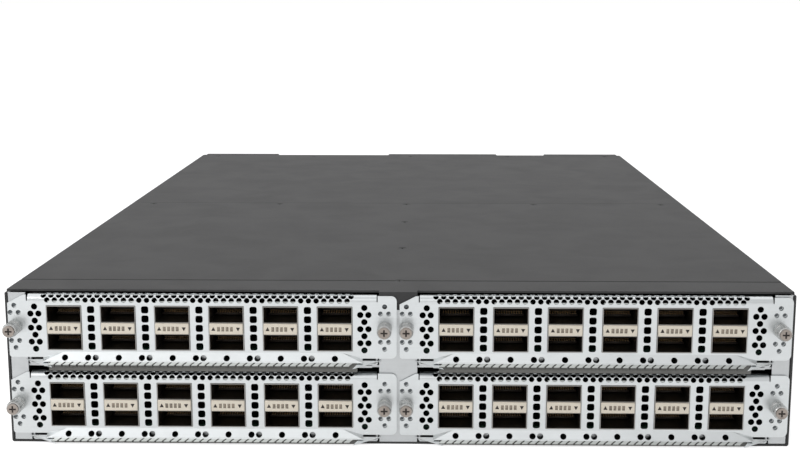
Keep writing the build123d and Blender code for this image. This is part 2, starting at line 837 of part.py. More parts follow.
def psu_case(name, x, middle):
    """A power supply: a closed case with an inlet, a fan recess, a latch pocket and a pull strap."""
    latch_edge = psu_width / 2 - latch_wall
    with BuildPart() as case:
        with BuildSketch(facing_rear(x, rear_y - psu_depth, middle)):
            Rectangle(psu_width, psu_height)
        extrude(amount=psu_depth)
        with BuildSketch(facing_rear(x, rear_y, middle)) as inlet:
            with Locations((-inlet_offset, 0)):
                Rectangle(inlet_width, inlet_height)
            chamfer(inlet.vertices().group_by(Axis.Y)[-1], inlet_cut)
        extrude(amount=-inlet_depth, mode=Mode.SUBTRACT)
        with BuildSketch(facing_rear(x, rear_y, middle)):
            with Locations((psu_fan_offset, 0)):
                RegularPolygon(psu_fan_radius, psu_fan_sides)
                RegularPolygon(psu_fan_hub, psu_fan_sides, mode=Mode.SUBTRACT)
        extrude(amount=-psu_fan_recess, mode=Mode.SUBTRACT)
        with BuildSketch(facing_rear(x, rear_y, middle)):
            with Locations((latch_edge, 0)):
                Rectangle(latch_pocket, latch_height + 2 * slide_fit, align=(Align.MAX, Align.CENTER))
        extrude(amount=-latch_pivot_depth - latch_tail - latch_gap, mode=Mode.SUBTRACT)
        with BuildSketch(Plane((x + latch_pin_x, latch_pin_y, middle))):
            RegularPolygon(latch_pin_radius + pin_fit, hole_sides, major_radius=False)
        extrude(amount=latch_height / 2 + latch_pin_reach + slide_fit, both=True, mode=Mode.SUBTRACT)
        with BuildSketch(facing_side(x + handle_offset, rear_y, middle)):
            make_face(strap_section())
        extrude(amount=handle_width / 2, both=True)
    finish(case, f"psu_case_{name}")


def psu_latch(name, x, middle):
    """A power supply's latch lever: a bent blade with a thumb pad, on an upright pin."""
    blade_x = x + latch_pin_x - latch_sheet / 2
    with BuildPart() as latch:
        with BuildSketch(Plane((blade_x, rear_y, middle))):
            make_face(
                folded(
                    (0, -latch_pivot_depth - latch_tail),
                    (0, latch_reach),
                    (latch_pad, latch_reach),
                    sheet=latch_sheet,
                    side=Side.RIGHT,
                )
            )
        extrude(amount=latch_height / 2, both=True)
        with BuildSketch(Plane((x + latch_pin_x, latch_pin_y, middle))):
            RegularPolygon(latch_pin_radius, shank_sides)
        extrude(amount=latch_height / 2 + latch_pin_reach, both=True)
    finish(latch, f"psu_latch_{name}")


for side, x in (("left", -psu_x), ("right", psu_x)):
    for row, floor in zip(("lower", "upper"), psu_floors):
        psu_case(f"{row}_{side}", x, floor + psu_height / 2)
        psu_latch(f"{row}_{side}", x, floor + psu_height / 2)
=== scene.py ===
import json
from math import asin, cos, degrees, pi, radians, sin

import bmesh
import bpy
from bpy.props import FloatProperty, FloatVectorProperty, IntProperty, PointerProperty
from mathutils import Euler, Matrix, Vector

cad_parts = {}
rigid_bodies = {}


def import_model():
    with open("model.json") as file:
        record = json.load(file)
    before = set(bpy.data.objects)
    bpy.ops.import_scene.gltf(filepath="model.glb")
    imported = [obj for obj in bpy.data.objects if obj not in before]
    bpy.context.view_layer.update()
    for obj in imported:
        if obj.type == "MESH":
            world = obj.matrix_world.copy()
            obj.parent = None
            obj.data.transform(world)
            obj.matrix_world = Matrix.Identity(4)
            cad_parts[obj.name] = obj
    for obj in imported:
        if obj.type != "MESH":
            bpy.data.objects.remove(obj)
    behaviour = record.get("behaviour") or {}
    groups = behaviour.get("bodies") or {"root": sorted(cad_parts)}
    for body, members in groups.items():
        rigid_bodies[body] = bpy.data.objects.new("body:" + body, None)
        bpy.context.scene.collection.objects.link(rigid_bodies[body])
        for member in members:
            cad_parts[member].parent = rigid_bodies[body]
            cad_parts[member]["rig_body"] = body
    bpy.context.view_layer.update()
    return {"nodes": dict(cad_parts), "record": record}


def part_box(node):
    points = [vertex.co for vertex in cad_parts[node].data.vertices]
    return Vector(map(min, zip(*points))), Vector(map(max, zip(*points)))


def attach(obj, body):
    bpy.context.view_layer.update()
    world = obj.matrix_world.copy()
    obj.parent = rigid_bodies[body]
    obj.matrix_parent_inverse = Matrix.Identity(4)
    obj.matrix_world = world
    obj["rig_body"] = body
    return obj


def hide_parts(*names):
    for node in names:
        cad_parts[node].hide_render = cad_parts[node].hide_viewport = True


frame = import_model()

bl_info = {
    "name": "Modular chassis switch",
    "version": (1, 0, 0),
    "blender": (4, 5, 0),
    "location": "View3D > Sidebar > Switch",
    "description": "Dresses the packed chassis switch with its perforated fronts, ports, screws and finishes",
    "category": "Object",
}

NODES = frame["nodes"]
SLOT_OF = {entry["node"]: entry["material_slot"] for entry in frame["record"]["subparts"]}
SLOTS = ("lower_left", "lower_right", "upper_left", "upper_right")
FANS = ("left", "right")
FRONT_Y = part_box("chassis_tray")[0].y
REAR_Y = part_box("chassis_tray")[1].y
TOP_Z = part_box("front_cover")[1].z
SEAM_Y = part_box("front_cover")[1].y
CAGE_FRONT_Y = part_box("port_cages_lower_left")[0].y
TRAY_GAP = 0.0003
FLOOR_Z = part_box("module_tray_lower_left")[0].z - TRAY_GAP
CAD_PLATE_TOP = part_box("faceplate_lower_left")[1].z - FLOOR_Z

# Limits for welding points, and for telling flat, sharp and smooth faces apart
TINY = 1e-7
WELD = 1e-6
FLAT_ANGLE = radians(1)
SHARP_ANGLE = radians(25)
SMOOTH_ANGLE = radians(30)
FLAT_AREA = 0.00002


def length(name, text, size, least=0.0):
    """A size that a user may change, in metres."""
    return FloatProperty(name=name, description=text, default=size, min=least, unit="LENGTH", precision=5)


def number(name, text, value, **more):
    """Another value that a user may change."""
    return FloatProperty(name=name, description=text, default=value, **more)


def pieces(name, text, value, least=1):
    """A number of pieces that a user may change."""
    return IntProperty(name=name, description=text, default=value, min=least)


def colour(name, text, value):
    """A linear colour that a user may change."""
    return FloatVectorProperty(
        name=name, description=text, default=value, size=3, min=0.0, max=1.0, subtype="COLOR"
    )


class PlateSizes(bpy.types.PropertyGroup):
    sheet: length("Sheet", "From the chassis front to the face of a faceplate", 0.0012)
    wall: length("Wall", "Thickness of the sheet seen in the holes", 0.0006)
    half_width: length("Half width", "From a faceplate's middle to the end of its ear", 0.1088)
    top: length("Top", "Height of the top flange over the slot's floor", 0.0403)
    ear_bottom: length("Ear bottom", "Height of the ears' lower edge", 0.0045)
    ear_round: length("Ear corner", "Radius of the right ear's corners", 0.003)
    ear_cut_width: length("Ear cut width", "Width of the cut at the left ear's upper corner", 0.009)
    ear_cut_height: length("Ear cut height", "Height of the cut at the left ear's upper corner", 0.0047)
    flange_half: length("Flange half width", "Half the width of the top flange", 0.0976)
    flange_depth: length("Flange depth", "Depth of the top flange", 0.005)
    bend: length("Bend", "Outer radius of the top bend", 0.0035)
    lip_top: length("Lip top", "Height where the lip leaves the face", 0.0076)
    lip_bottom: length("Lip bottom", "Height of the lip's lower edge", 0.0025)
    lip_reach: length("Lip reach", "How far the lip stands out", 0.0026)
    lip_half: length("Lip half width", "Half the width of the lip's lower edge", 0.08975)
    lip_crease: length("Lip crease", "Half the width of the lip's upper edge", 0.0785)
    lip_tab: length("Lip tab", "Half the width over the tabs at the ends of the lip", 0.1)
    tab_slot: length("Tab slot", "Height of the slot between an ear and its tab", 0.0013)
    tab_reach: length("Tab reach", "How far a tab's corner stands out", 0.0036)
    tab_drop: length("Tab drop", "How far a tab slopes down", 0.0036)
    window_width: length("Window width", "Width of a port window", 0.02)
    window_height: length("Window height", "Height of a port window", 0.0258)
    window_middle: length("Window middle", "Height of the windows' middle", 0.0214)
    port_pitch: length("Port pitch", "Distance between port columns", 0.0303)
    port_columns: pieces("Port columns", "Port columns of a module", 6)
    port_shift: length("Port shift", "Sideways shift of the ports and screws", -0.0015, -1.0)
    vent_side: length("Square vent", "Side of a square vent", 0.0041)
    vent_pitch: length("Square vent pitch", "Distance between square vents", 0.00525)
    hole_radius: length("Round vent radius", "Radius of the round vents", 0.00178)
    ear_hole: length("Ear hole radius", "Radius of the holes round the captive screws", 0.0014)
    row_radius: length("Row hole radius", "Radius of the holes along the top bend", 0.00155)
    row_pitch: length("Row pitch", "Distance between the holes along the top bend", 0.0043)
    row_height: length("Row height", "Height of the lowest row of holes along the top bend", 0.0374)
    row_step: length("Row step", "Distance between the rows over the top bend, along the sheet", 0.0026)
    rows: pieces("Rows", "Rows of holes over the top bend", 3)
    diamond_step: length("Diamond step", "Height between the rows of the diamond vents", 0.00405)
    diamond_spread: length("Diamond spread", "Half the width of a pair in the diamond vents", 0.00225)
    diamond_x: length("Diamond place", "From the ports' middle to the diamond vents", 0.09225)
    screw_x: length("Screw place", "From the ports' middle to a captive screw", 0.10355)
    screw_height: length("Screw height", "Height of the captive screws", 0.02205)
    screw_hole: length("Screw hole", "Radius of the hole round a captive screw", 0.0021)


class PieceSizes(bpy.types.PropertyGroup):
    soft_edge: length("Soft edge", "Rounding of folded sheet edges", 0.00025)
    finger_pitch: length("Finger pitch", "Distance between gasket fingers", 0.00425)
    finger_slant: length("Finger slant", "Sideways lean of a gasket finger", 0.0027)
    finger_drop: length("Finger drop", "How far the upper gaskets hang below their slot's floor", 0.0032)
    knurl_count: pieces("Knurls", "Ridges round a captive screw", 30, 3)
    cover_screw: length("Cover screw", "Radius of a flush cover screw", 0.0024)
    contact_pitch: length("Contact pitch", "Distance between port contacts", 0.0014)


class RearSizes(bpy.types.PropertyGroup):
    sheet: length("Tray sheet", "Thickness of a fan tray's sheet", 0.001)
    bore: length("Fan bore", "Radius of a fan's bore", 0.0373)
    guard_hub: length("Guard hub", "Radius of the disc in the middle of a fan guard", 0.016)
    guard_ring: length("Guard ring", "Middle radius of a fan guard's ring", 0.026)
    guard_width: length("Guard width", "Width of a fan guard's ring", 0.002)
    guard_spoke: length("Guard spoke", "Width of a fan guard's spokes", 0.003)
    fan_depth: length("Fan depth", "Depth of a fan's frame", 0.032)
    motor_plate: length("Motor plate", "Depth of the plate that carries a fan's motor", 0.004)
    hub: length("Rotor hub", "Radius of a rotor's hub", 0.0155)
    tip: length("Blade tip", "Radius of the blade tips", 0.0366)
    blade_root: length("Blade root", "Chord of a blade at the hub", 0.018)
    blade_tip: length("Blade tip chord", "Chord of a blade at its tip", 0.026)
    blade_sheet: length("Blade thickness", "Thickness of a blade", 0.0016)
    blades: pieces("Blades", "Blades of a rotor", 5, 2)
    root_pitch: number("Root pitch", "Pitch of a blade at the hub", 0.72, unit="ROTATION")
    tip_pitch: number("Tip pitch", "Pitch of a blade at its tip", 0.42, unit="ROTATION")
    fitting: length("Fitting place", "From a fan's middle to its strap and its screw", 0.047)
    strap_reach: length("Strap reach", "How far a strap stands out", 0.025)
    strap_height: length("Strap height", "Height of a strap", 0.031)
    strap_width: length("Strap width", "Width of a strap", 0.008)
    strap_sheet: length("Strap sheet", "Thickness of a strap", 0.002)
    inlet_place: length("Inlet place", "From a supply's middle to its inlet", 0.0195)
    inlet_width: length("Inlet width", "Width of an inlet", 0.025)
    inlet_height: length("Inlet height", "Height of an inlet", 0.017)
    inlet_depth: length("Inlet depth", "Depth of an inlet", 0.016)
    inlet_cut: length("Inlet cut", "Cut of an inlet's upper corners", 0.0045)
    supply_fan: length("Supply fan place", "From a supply's middle to its fan", 0.016)
    supply_bore: length("Supply fan bore", "Radius of a supply's fan recess", 0.0135)
    vent_radius: length("Supply vent radius", "Radius of a supply's vents", 0.0012)
    vent_pitch: length("Supply vent pitch", "Distance between a supply's vents", 0.0032)
    jack_width: length("Jack width", "Width of a service jack", 0.0135)
    jack_height: length("Jack height", "Height of a service jack", 0.012)
    jack_depth: length("Jack depth", "Depth of a service jack", 0.012)
    jack_pitch: length("Jack pitch", "Distance between service jacks", 0.019)
    jack_middle: length("Jack height over floor", "Height of the middle service jack", 0.058)


class FinishColours(bpy.types.PropertyGroup):
    paint: colour("Paint", "Dark powder coat of the covers and sides", (0.072, 0.072, 0.073))
    plating: colour("Plating", "Bright plating of the faceplates", (0.84, 0.87, 0.88))
    rail: colour("Rail", "Plated rails and shelves", (0.7, 0.72, 0.73))
    cream: colour("Light bar", "Moulded light bars", (0.93, 0.85, 0.72))
    warm_end: colour("Screw end", "End of a captive screw", (0.46, 0.405, 0.365))


class StageSizes(bpy.types.PropertyGroup):
    floor_size: length("Floor", "Side of the floor", 900.0)
    key_power: number("Key light", "Power of the key light", 5.0, unit="POWER")
    fill_power: number("Fill light", "Power of the fill light", 2.2, unit="POWER")
    world_light: number("Room light", "Strength of the room's light", 0.54, min=0.0)
    lens: number("Lens", "Focal length in millimetres", 58.1, min=1.0)


def plates():
    return bpy.context.scene.plate_sizes


def sizes():
    return bpy.context.scene.piece_sizes


def rear_sizes():
    return bpy.context.scene.rear_sizes


# Nodes

def new_tree(name, kind, inputs, outputs):
    """A node tree with named sockets, with the sockets of its input node and of its output node."""
    tree = bpy.data.node_groups.new(name, kind)
    for way, sockets in (("INPUT", inputs), ("OUTPUT", outputs)):
        for socket, sort in sockets.items():
            tree.interface.new_socket(socket, in_out=way, socket_type=f"NodeSocket{sort}")
    return tree, tree.nodes.new("NodeGroupInput").outputs, tree.nodes.new("NodeGroupOutput").inputs


def feed(tree, node, inputs):
    """Links each input to one or more sockets, or gives it a plain value."""
    for socket, value in inputs.items():
        for source in value if isinstance(value, list) else [value]:
            if isinstance(source, bpy.types.NodeSocket):
                tree.links.new(source, node.inputs[socket])
            else:
                node.inputs[socket].default_value = source


def step(tree, kind, inputs=None, **settings):
    """The outputs of a new node with its own settings and its inputs."""
    node = tree.nodes.new(kind)
    for key, value in settings.items():
        setattr(node, key, value)
    feed(tree, node, inputs or {})
    return node.outputs


def worked(tree, operation, *values):
    """The result of a sum on sockets or plain values."""
    return step(tree, "ShaderNodeMath", dict(enumerate(values)), operation=operation)[0]


def ramp(tree, value, low, high):
    """A value stretched from low..high to 0..1."""
    return step(tree, "ShaderNodeMapRange", {"Value": value, "From Min": low, "From Max": high})["Result"]


def noise(tree, place, scale, detail, distortion=0.0):
    inputs = {"Vector": place, "Scale": scale, "Detail": detail, "Distortion": distortion}
    return step(tree, "ShaderNodeTexNoise", inputs)["Fac"]


def mixed(tree, mask, first, second):
    """Two colours, or a colour socket and a colour, mixed by a mask."""
    if not isinstance(first, bpy.types.NodeSocket):
        first = (*first, 1.0)
    inputs = {"Factor": mask, "A": first, "B": (*second, 1.0)}
    return step(tree, "ShaderNodeMix", inputs, data_type="RGBA")["Result"]


# Shared shader effects

def grain_effect(tree, given, out):
    """Fine grain: a height for bumps and a mask for colour."""
    fine = noise(tree, given["Vector"], given["Scale"], 2.0)
    coarse = noise(tree, given["Vector"], worked(tree, "MULTIPLY", given["Scale"], 0.23), 3.0)
    tree.links.new(worked(tree, "ADD", fine, worked(tree, "MULTIPLY", coarse, 0.6)), out["Height"])
    tree.links.new(ramp(tree, coarse, 0.35, 0.65), out["Mask"])


def handling_effect(tree, given, out):
    """Broad cloudy patches from handling and uneven coating, as a mask."""
    cloud = noise(tree, given["Vector"], given["Scale"], 5.0, 0.6)
    tree.links.new(ramp(tree, cloud, 0.38, 0.68), out["Mask"])


def rolled_effect(tree, given, out):
    """The fine lines that rolling leaves along a sheet, as a height and a mask."""
    stretch = {0: given["Vector"], 1: (1.0, 30.0, 30.0)}
    drawn = step(tree, "ShaderNodeVectorMath", stretch, operation="MULTIPLY")["Vector"]
    lines = noise(tree, drawn, given["Scale"], 4.0)
    tree.links.new(lines, out["Height"])
    tree.links.new(ramp(tree, lines, 0.3, 0.7), out["Mask"])


EFFECTS = {
    "surface_grain": (grain_effect, "Height", "Mask"),
    "handling_marks": (handling_effect, "Mask"),
    "rolled_lines": (rolled_effect, "Height", "Mask"),
}
GROUPS = {}


def effect(tree, name, place, scale):
    """One of the shared effects, placed in a material."""
    if name not in GROUPS:
        build, *outputs = EFFECTS[name]
        inputs = {"Vector": "Vector", "Scale": "Float"}
        group, given, out = new_tree(name, "ShaderNodeTree", inputs, dict.fromkeys(outputs, "Float"))
        build(group, given, out)
        GROUPS[name] = group
    return step(tree, "ShaderNodeGroup", {"Vector": place, "Scale": scale}, node_tree=GROUPS[name])


# Finishes: the colour, or the name of a user's colour, then metallic, roughness and its spread, how dark the
# patches are, the grain's scale, the bump, the scale of the handling marks, and what else there is

ROLLED = {"rolled": 40.0}
# Painted shade: the cage steel's colour darkens from just behind its front edge inwards, standing for the
# shade deep in the ports
CAGE_DEPTH_SHADE = {"inside": (CAGE_FRONT_Y + 0.0002, 0.0012, (0.2, 0.18, 0.155))}
FINISH_TABLE = {
    "dark_powder_coat": ("paint", 0.0, 0.55, 0.04, 0.94, 1500.0, 0.2, 30.0, {"gloss": 0.11}),
    "bright_plating": ("plating", 1.0, 0.34, 0.1, 0.94, 700.0, 0.05, 30.0, ROLLED),
    "rail_plating": ("rail", 1.0, 0.42, 0.12, 0.9, 700.0, 0.06, 25.0, ROLLED),
    "rear_plating": ((0.66, 0.67, 0.68), 1.0, 0.4, 0.12, 0.9, 700.0, 0.06, 25.0, ROLLED),
    "cage_steel": ((0.42, 0.41, 0.39), 1.0, 0.4, 0.15, 0.85, 900.0, 0.05, 14.0, CAGE_DEPTH_SHADE),
    "spring_steel": ((0.62, 0.645, 0.63), 1.0, 0.38, 0.15, 0.8, 1200.0, 0.08, 14.0, {}),
    "knurled_steel": ((0.63, 0.63, 0.62), 1.0, 0.3, 0.15, 0.8, 1500.0, 0.1, 14.0, {}),
    "screw_end": ("warm_end", 0.75, 0.45, 0.15, 0.7, 1800.0, 0.15, 200.0, {}),
    "recess_dark": ((0.05, 0.042, 0.038), 0.4, 0.6, 0.1, 0.8, 1500.0, 0.1, 14.0, {}),
    "cream_moulding": ("cream", 0.0, 0.42, 0.1, 0.95, 1400.0, 0.06, 120.0, {}),
    "mark_ink": ((0.03, 0.022, 0.017), 0.0, 0.5, 0.1, 0.8, 2000.0, 0.02, 14.0, {}),
    "unlit_window": ((0.36, 0.3, 0.23), 0.0, 0.25, 0.08, 0.3, 500.0, 0.0, 700.0, {"coat": 0.5}),
    "gasket_shade": ((0.2, 0.2, 0.19), 0.6, 0.6, 0.1, 0.8, 1500.0, 0.1, 14.0, {}),
    "board_coat": ((0.007, 0.038, 0.02), 0.0, 0.4, 0.15, 0.7, 600.0, 0.15, 60.0, {"coat": 0.3}),
    "black_moulding": ((0.018, 0.018, 0.019), 0.0, 0.48, 0.12, 0.75, 1600.0, 0.18, 40.0, {}),
    "port_moulding": ((0.07, 0.06, 0.052), 0.0, 0.5, 0.1, 0.75, 1600.0, 0.1, 60.0, {}),
    "lever_moulding": ((0.03, 0.045, 0.05), 0.0, 0.42, 0.12, 0.75, 1500.0, 0.15, 60.0, {}),
    "contact_metal": ((0.6, 0.46, 0.3), 0.9, 0.38, 0.1, 0.7, 1200.0, 0.03, 90.0, {}),
    "wire_metal": ((0.6, 0.61, 0.62), 1.0, 0.25, 0.1, 0.85, 1500.0, 0.04, 60.0, {}),
    "lamp_lens": ((0.2, 0.34, 0.2), 0.0, 0.2, 0.06, 0.7, 800.0, 0.0, 300.0, {"coat": 0.5}),
    "post_hole": ((0.14, 0.155, 0.165), 0.5, 0.5, 0.1, 0.8, 1500.0, 0.1, 14.0, {}),
    "package_black": ((0.03, 0.03, 0.032), 0.0, 0.5, 0.12, 0.7, 1600.0, 0.15, 80.0, {}),
    "capacitor_tan": ((0.5, 0.36, 0.2), 0.0, 0.5, 0.1, 0.8, 1600.0, 0.1, 120.0, {}),
    "fin_metal": ((0.6, 0.6, 0.62), 1.0, 0.42, 0.12, 0.85, 700.0, 0.05, 30.0, ROLLED),
}
NODE_FINISH = {
    "dark_paint": "dark_powder_coat",
    "bright_plate": "bright_plating",
    "plated_rail": "rail_plating",
    "rear_plate": "rear_plating",
    "cage_steel": "cage_steel",
    "spring_steel": "spring_steel",
    "screw_steel": "knurled_steel",
    "light_bar": "cream_moulding",
    "board": "board_coat",
    "cast_fins": "fin_metal",
    "fan_plastic": "black_moulding",
    "latch_plastic": "lever_moulding",
}
FINISHES = {}
BUMP_DEPTH = 0.0002
ROLLED_SHADE = 0.35


def new_material(name):
    """A new material with its node tree and its shader."""
    material = bpy.data.materials.new(name)
    material.use_nodes = True
    return material, material.node_tree, material.node_tree.nodes["Principled BSDF"]


def new_finish(name, base, metallic, roughness, spread, tint, grain, bump, marks, more):
    """Grain and handling marks on a colour; more may add rolled lines, a coat, a gloss and a painted shade
    that darkens the colour deeper inside.
    """
    if isinstance(base, str):
        base = getattr(bpy.context.scene.finish_colours, base)
    material, tree, shader = new_material(name)
    place = step(tree, "ShaderNodeTexCoord")["Object"]
    fine = effect(tree, "surface_grain", place, grain)
    rough_mask = effect(tree, "handling_marks", place, marks)["Mask"]
    darker = tuple(part * tint for part in base)
    shade = mixed(tree, worked(tree, "MULTIPLY", rough_mask, fine["Mask"]), base, darker)
    height = fine["Height"]
    if "rolled" in more:
        lines = effect(tree, "rolled_lines", place, more["rolled"])
        shade = mixed(tree, worked(tree, "MULTIPLY", lines["Mask"], ROLLED_SHADE), shade, darker)
        height = worked(tree, "ADD", height, lines["Height"])
        rough_mask = worked(tree, "MULTIPLY", worked(tree, "ADD", rough_mask, lines["Mask"]), 0.5)
    # Painted shade: the colour ramps to a dark colour with depth along Y, standing for the shade inside
    if "inside" in more:
        front, depth, dark = more["inside"]
        y = step(tree, "ShaderNodeSeparateXYZ", {0: place})["Y"]
        shade = mixed(tree, ramp(tree, y, front, front + depth), shade, dark)
    feed(tree, shader, {
        "Base Color": shade,
        "Roughness": worked(tree, "MULTIPLY_ADD", rough_mask, spread, roughness - spread / 2),
        "Metallic": metallic,
        "Coat Weight": more.get("coat", 0.0),
        "Specular IOR Level": more.get("gloss", 0.5),
    })
    if bump:
        inputs = {"Strength": bump, "Distance": BUMP_DEPTH, "Height": height}
        tree.links.new(step(tree, "ShaderNodeBump", inputs)["Normal"], shader.inputs["Normal"])
    return material


def finish(name):
    """The finish of that name, made when it is first asked for."""
    if name not in FINISHES:
        FINISHES[name] = new_finish(name, *FINISH_TABLE[name])
    return FINISHES[name]


# Geometry trees

ROUND, SQUARE, WINDOW = 1, 2, 3


def geometry_tree(name, inputs):
    """A new geometry tree with named inputs, one geometry in and one out."""
    taken = {"Geometry": "Geometry", **inputs, "Finish": "Material"}
    return new_tree(name, "GeometryNodeTree", taken, {"Geometry": "Geometry"})


def ending(tree, ask, out, geometry):
    """The end of every tree: instances made real, and the finish set."""
    real = step(tree, "GeometryNodeRealizeInstances", {"Geometry": geometry})["Geometry"]
    done = step(tree, "GeometryNodeSetMaterial", {"Geometry": real, "Material": ask["Finish"]})["Geometry"]
    tree.links.new(done, out["Geometry"])
    return tree


def attribute(tree, name, sort):
    return step(tree, "GeometryNodeInputNamedAttribute", {"Name": name}, data_type=sort)["Attribute"]


def rounded_rectangle(tree, width, height, corner):
    shape = step(tree, "GeometryNodeCurvePrimitiveQuadrilateral", {"Width": width, "Height": height})["Curve"]
    inputs = {"Curve": shape, "Radius": corner, "Count": 3}
    return step(tree, "GeometryNodeFilletCurve", inputs, mode="POLY")["Curve"]


def perforated_tree():
    """A flat sheet: closed outlines in XY, with a round, square or window hole at each loose point."""
    tree, ask, out = geometry_tree("perforated_sheet", {
        "Thickness": "Float", "Hole Sides": "Int", "Square Side": "Float", "Square Corner": "Float",
        "Window Width": "Float", "Window Height": "Float", "Window Corner": "Float",
    })
    curves = [step(tree, "GeometryNodeMeshToCurve", {"Mesh": ask["Geometry"]})["Curve"]]
    inputs = {"Resolution": ask["Hole Sides"], "Radius": 1.0}
    disc = step(tree, "GeometryNodeCurvePrimitiveCircle", inputs)["Curve"]
    square = rounded_rectangle(tree, ask["Square Side"], ask["Square Side"], ask["Square Corner"])
    window = rounded_rectangle(tree, ask["Window Width"], ask["Window Height"], ask["Window Corner"])
    for kind, shape in ((ROUND, disc), (SQUARE, square), (WINDOW, window)):
        pair = {2: attribute(tree, "kind", "INT"), 3: kind}
        chosen = step(tree, "FunctionNodeCompare", pair, data_type="INT", operation="EQUAL")["Result"]
        inputs = {"Points": ask["Geometry"], "Selection": chosen, "Instance": shape}
        if kind == ROUND:
            inputs["Scale"] = attribute(tree, "radius", "FLOAT")
        holes = step(tree, "GeometryNodeInstanceOnPoints", inputs)["Instances"]
        curves.append(step(tree, "GeometryNodeRealizeInstances", {"Geometry": holes})["Geometry"])
    joined = step(tree, "GeometryNodeJoinGeometry", {"Geometry": curves})["Geometry"]
    filled = step(tree, "GeometryNodeFillCurve", {"Curve": joined})["Mesh"]
    inputs = {"Mesh": filled, "Offset Scale": ask["Thickness"], "Individual": False}
    raised = step(tree, "GeometryNodeExtrudeMesh", inputs)["Mesh"]
    under = step(tree, "GeometryNodeFlipFaces", {"Mesh": filled})["Mesh"]
    closed = step(tree, "GeometryNodeJoinGeometry", {"Geometry": [raised, under]})["Geometry"]
    welded = step(tree, "GeometryNodeMergeByDistance", {"Geometry": closed, "Distance": TINY})["Geometry"]
    return ending(tree, ask, out, welded)


def row_tree():
    """A piece repeated along X in even steps, starting at the first place."""
    tree, ask, out = geometry_tree("row_of_pieces", {"Count": "Int", "Pitch": "Float", "Start": "Vector"})
    offset = step(tree, "ShaderNodeCombineXYZ", {"X": ask["Pitch"]})["Vector"]
    inputs = {"Count": ask["Count"], "Start Location": ask["Start"], "Offset": offset}
    line = step(tree, "GeometryNodeMeshLine", inputs, mode="OFFSET")["Mesh"]
    inputs = {"Points": line, "Instance": ask["Geometry"]}
    return ending(tree, ask, out, step(tree, "GeometryNodeInstanceOnPoints", inputs)["Instances"])


def ring_tree():
    """A piece repeated round the Z axis, each copy turned to face outwards."""
    tree, ask, out = geometry_tree("ring_of_pieces", {"Count": "Int"})
    inputs = {"Count": ask["Count"], "Offset": (0.0, 0.0, 0.0)}
    points = step(tree, "GeometryNodeMeshLine", inputs, mode="OFFSET")["Mesh"]
    share = worked(tree, "DIVIDE", step(tree, "GeometryNodeInputIndex")["Index"], ask["Count"])
    turn = step(tree, "ShaderNodeCombineXYZ", {"Z": worked(tree, "MULTIPLY", share, 2 * pi)})["Vector"]
    inputs = {"Points": points, "Instance": ask["Geometry"], "Rotation": turn}
    return ending(tree, ask, out, step(tree, "GeometryNodeInstanceOnPoints", inputs)["Instances"])


TREE_MAKERS = {"perforated_sheet": perforated_tree, "row_of_pieces": row_tree, "ring_of_pieces": ring_tree}
TREES = {}


def linked(name, data):
    """A new object in the scene."""
    thing = bpy.data.objects.new(name, data)
    bpy.context.scene.collection.objects.link(thing)
    return thing


def applied(thing):
    """The plain mesh of an object with its modifiers worked out; the object is taken away."""
    bpy.context.view_layer.update()
    made = bpy.data.meshes.new_from_object(thing.evaluated_get(bpy.context.evaluated_depsgraph_get()))
    thing.modifiers.clear()
    bpy.data.objects.remove(thing)
    return made


def grown(mesh, kind, coat, **inputs):
    """The plain mesh that a geometry tree makes of a mesh, in a named finish."""
    if kind not in TREES:
        TREES[kind] = TREE_MAKERS[kind]()
    tree = TREES[kind]
    sockets = {
        item.name.replace(" ", "_").lower(): item.identifier
        for item in tree.interface.items_tree
        if item.item_type == "SOCKET" and item.in_out == "INPUT"
    }
    maker = linked("maker", mesh)
    modifier = maker.modifiers.new("nodes", "NODES")
    modifier.node_group = tree
    for name, value in {**inputs, "finish": finish(coat)}.items():
        modifier[sockets[name]] = value
    made = applied(maker)
    if not made.polygons:
        raise RuntimeError(f"{kind} made no faces")
    return made


# Pieces

class Pile:
    """Gathers meshes and the names of their finishes into the mesh of one piece."""

    def __init__(self):
        self.gathered = bmesh.new()
        self.finishes = []

    def add(self, mesh, coat, place=None):
        """Adds a copy of a mesh, moved to its place."""
        copy = mesh.copy()
        if place is not None:
            copy.transform(place)
        if coat not in self.finishes:
            self.finishes.append(coat)
        index = self.finishes.index(coat)
        copy.polygons.foreach_set("material_index", [index] * len(copy.polygons))
        self.gathered.from_mesh(copy)
        bpy.data.meshes.remove(copy)
        return self

    def row(self, mesh, coat, count, pitch, start):
        """Adds a mesh repeated along X from a starting place."""
        line = grown(mesh, "row_of_pieces", coat, count=count, pitch=pitch, start=Vector(start))
        return self.add(line, coat)

    def move(self, place):
        """Moves all that has been gathered."""
        bmesh.ops.transform(self.gathered, matrix=place, verts=self.gathered.verts)
        return self

    def mesh(self, name):
        """The gathered mesh without its finishes; the pile is then used up."""
        mesh = bpy.data.meshes.new(name)
        self.gathered.to_mesh(mesh)
        self.gathered.free()
        return mesh

    def piece(self, name, node, replaces=True):
        """The gathered mesh as a finished piece."""
        mesh = self.mesh(name)
        for coat in self.finishes:
            mesh.materials.append(finish(coat))
        placed(name, mesh, node, replaces)


def placed(name, mesh, node, replaces=True):
    """A finished piece on a CAD node's body, standing in the node's place or beside it."""
    mesh.polygons.foreach_set("use_smooth", [True] * len(mesh.polygons))
    mesh.set_sharp_from_angle(angle=SMOOTH_ANGLE)
    for polygon in mesh.polygons:
        if polygon.area > FLAT_AREA:
            polygon.use_smooth = False
    piece = linked(name, mesh)
    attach(piece, NODES[node]["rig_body"])
    if replaces:
        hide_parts(node)


# Places

def at(x, y, z):
    return Matrix.Translation((x, y, z))


def axes(across, up, out, origin):
    """A placing matrix from three directions and an origin."""
    return Matrix.Translation(origin) @ Matrix((across, up, out)).transposed().to_4x4()


def facing_front(x, y, z):
    """A place on an upright plane that looks to the front: X across, Z up."""
    return axes((1, 0, 0), (0, 0, 1), (0, -1, 0), (x, y, z))


def facing_rear(x, y, z):
    """A place on an upright plane that looks to the rear, with X across from right to left."""
    return axes((-1, 0, 0), (0, 0, 1), (0, 1, 0), (x, y, z))


def middle_of(node):
    low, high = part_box(node)
    return (low + high) / 2


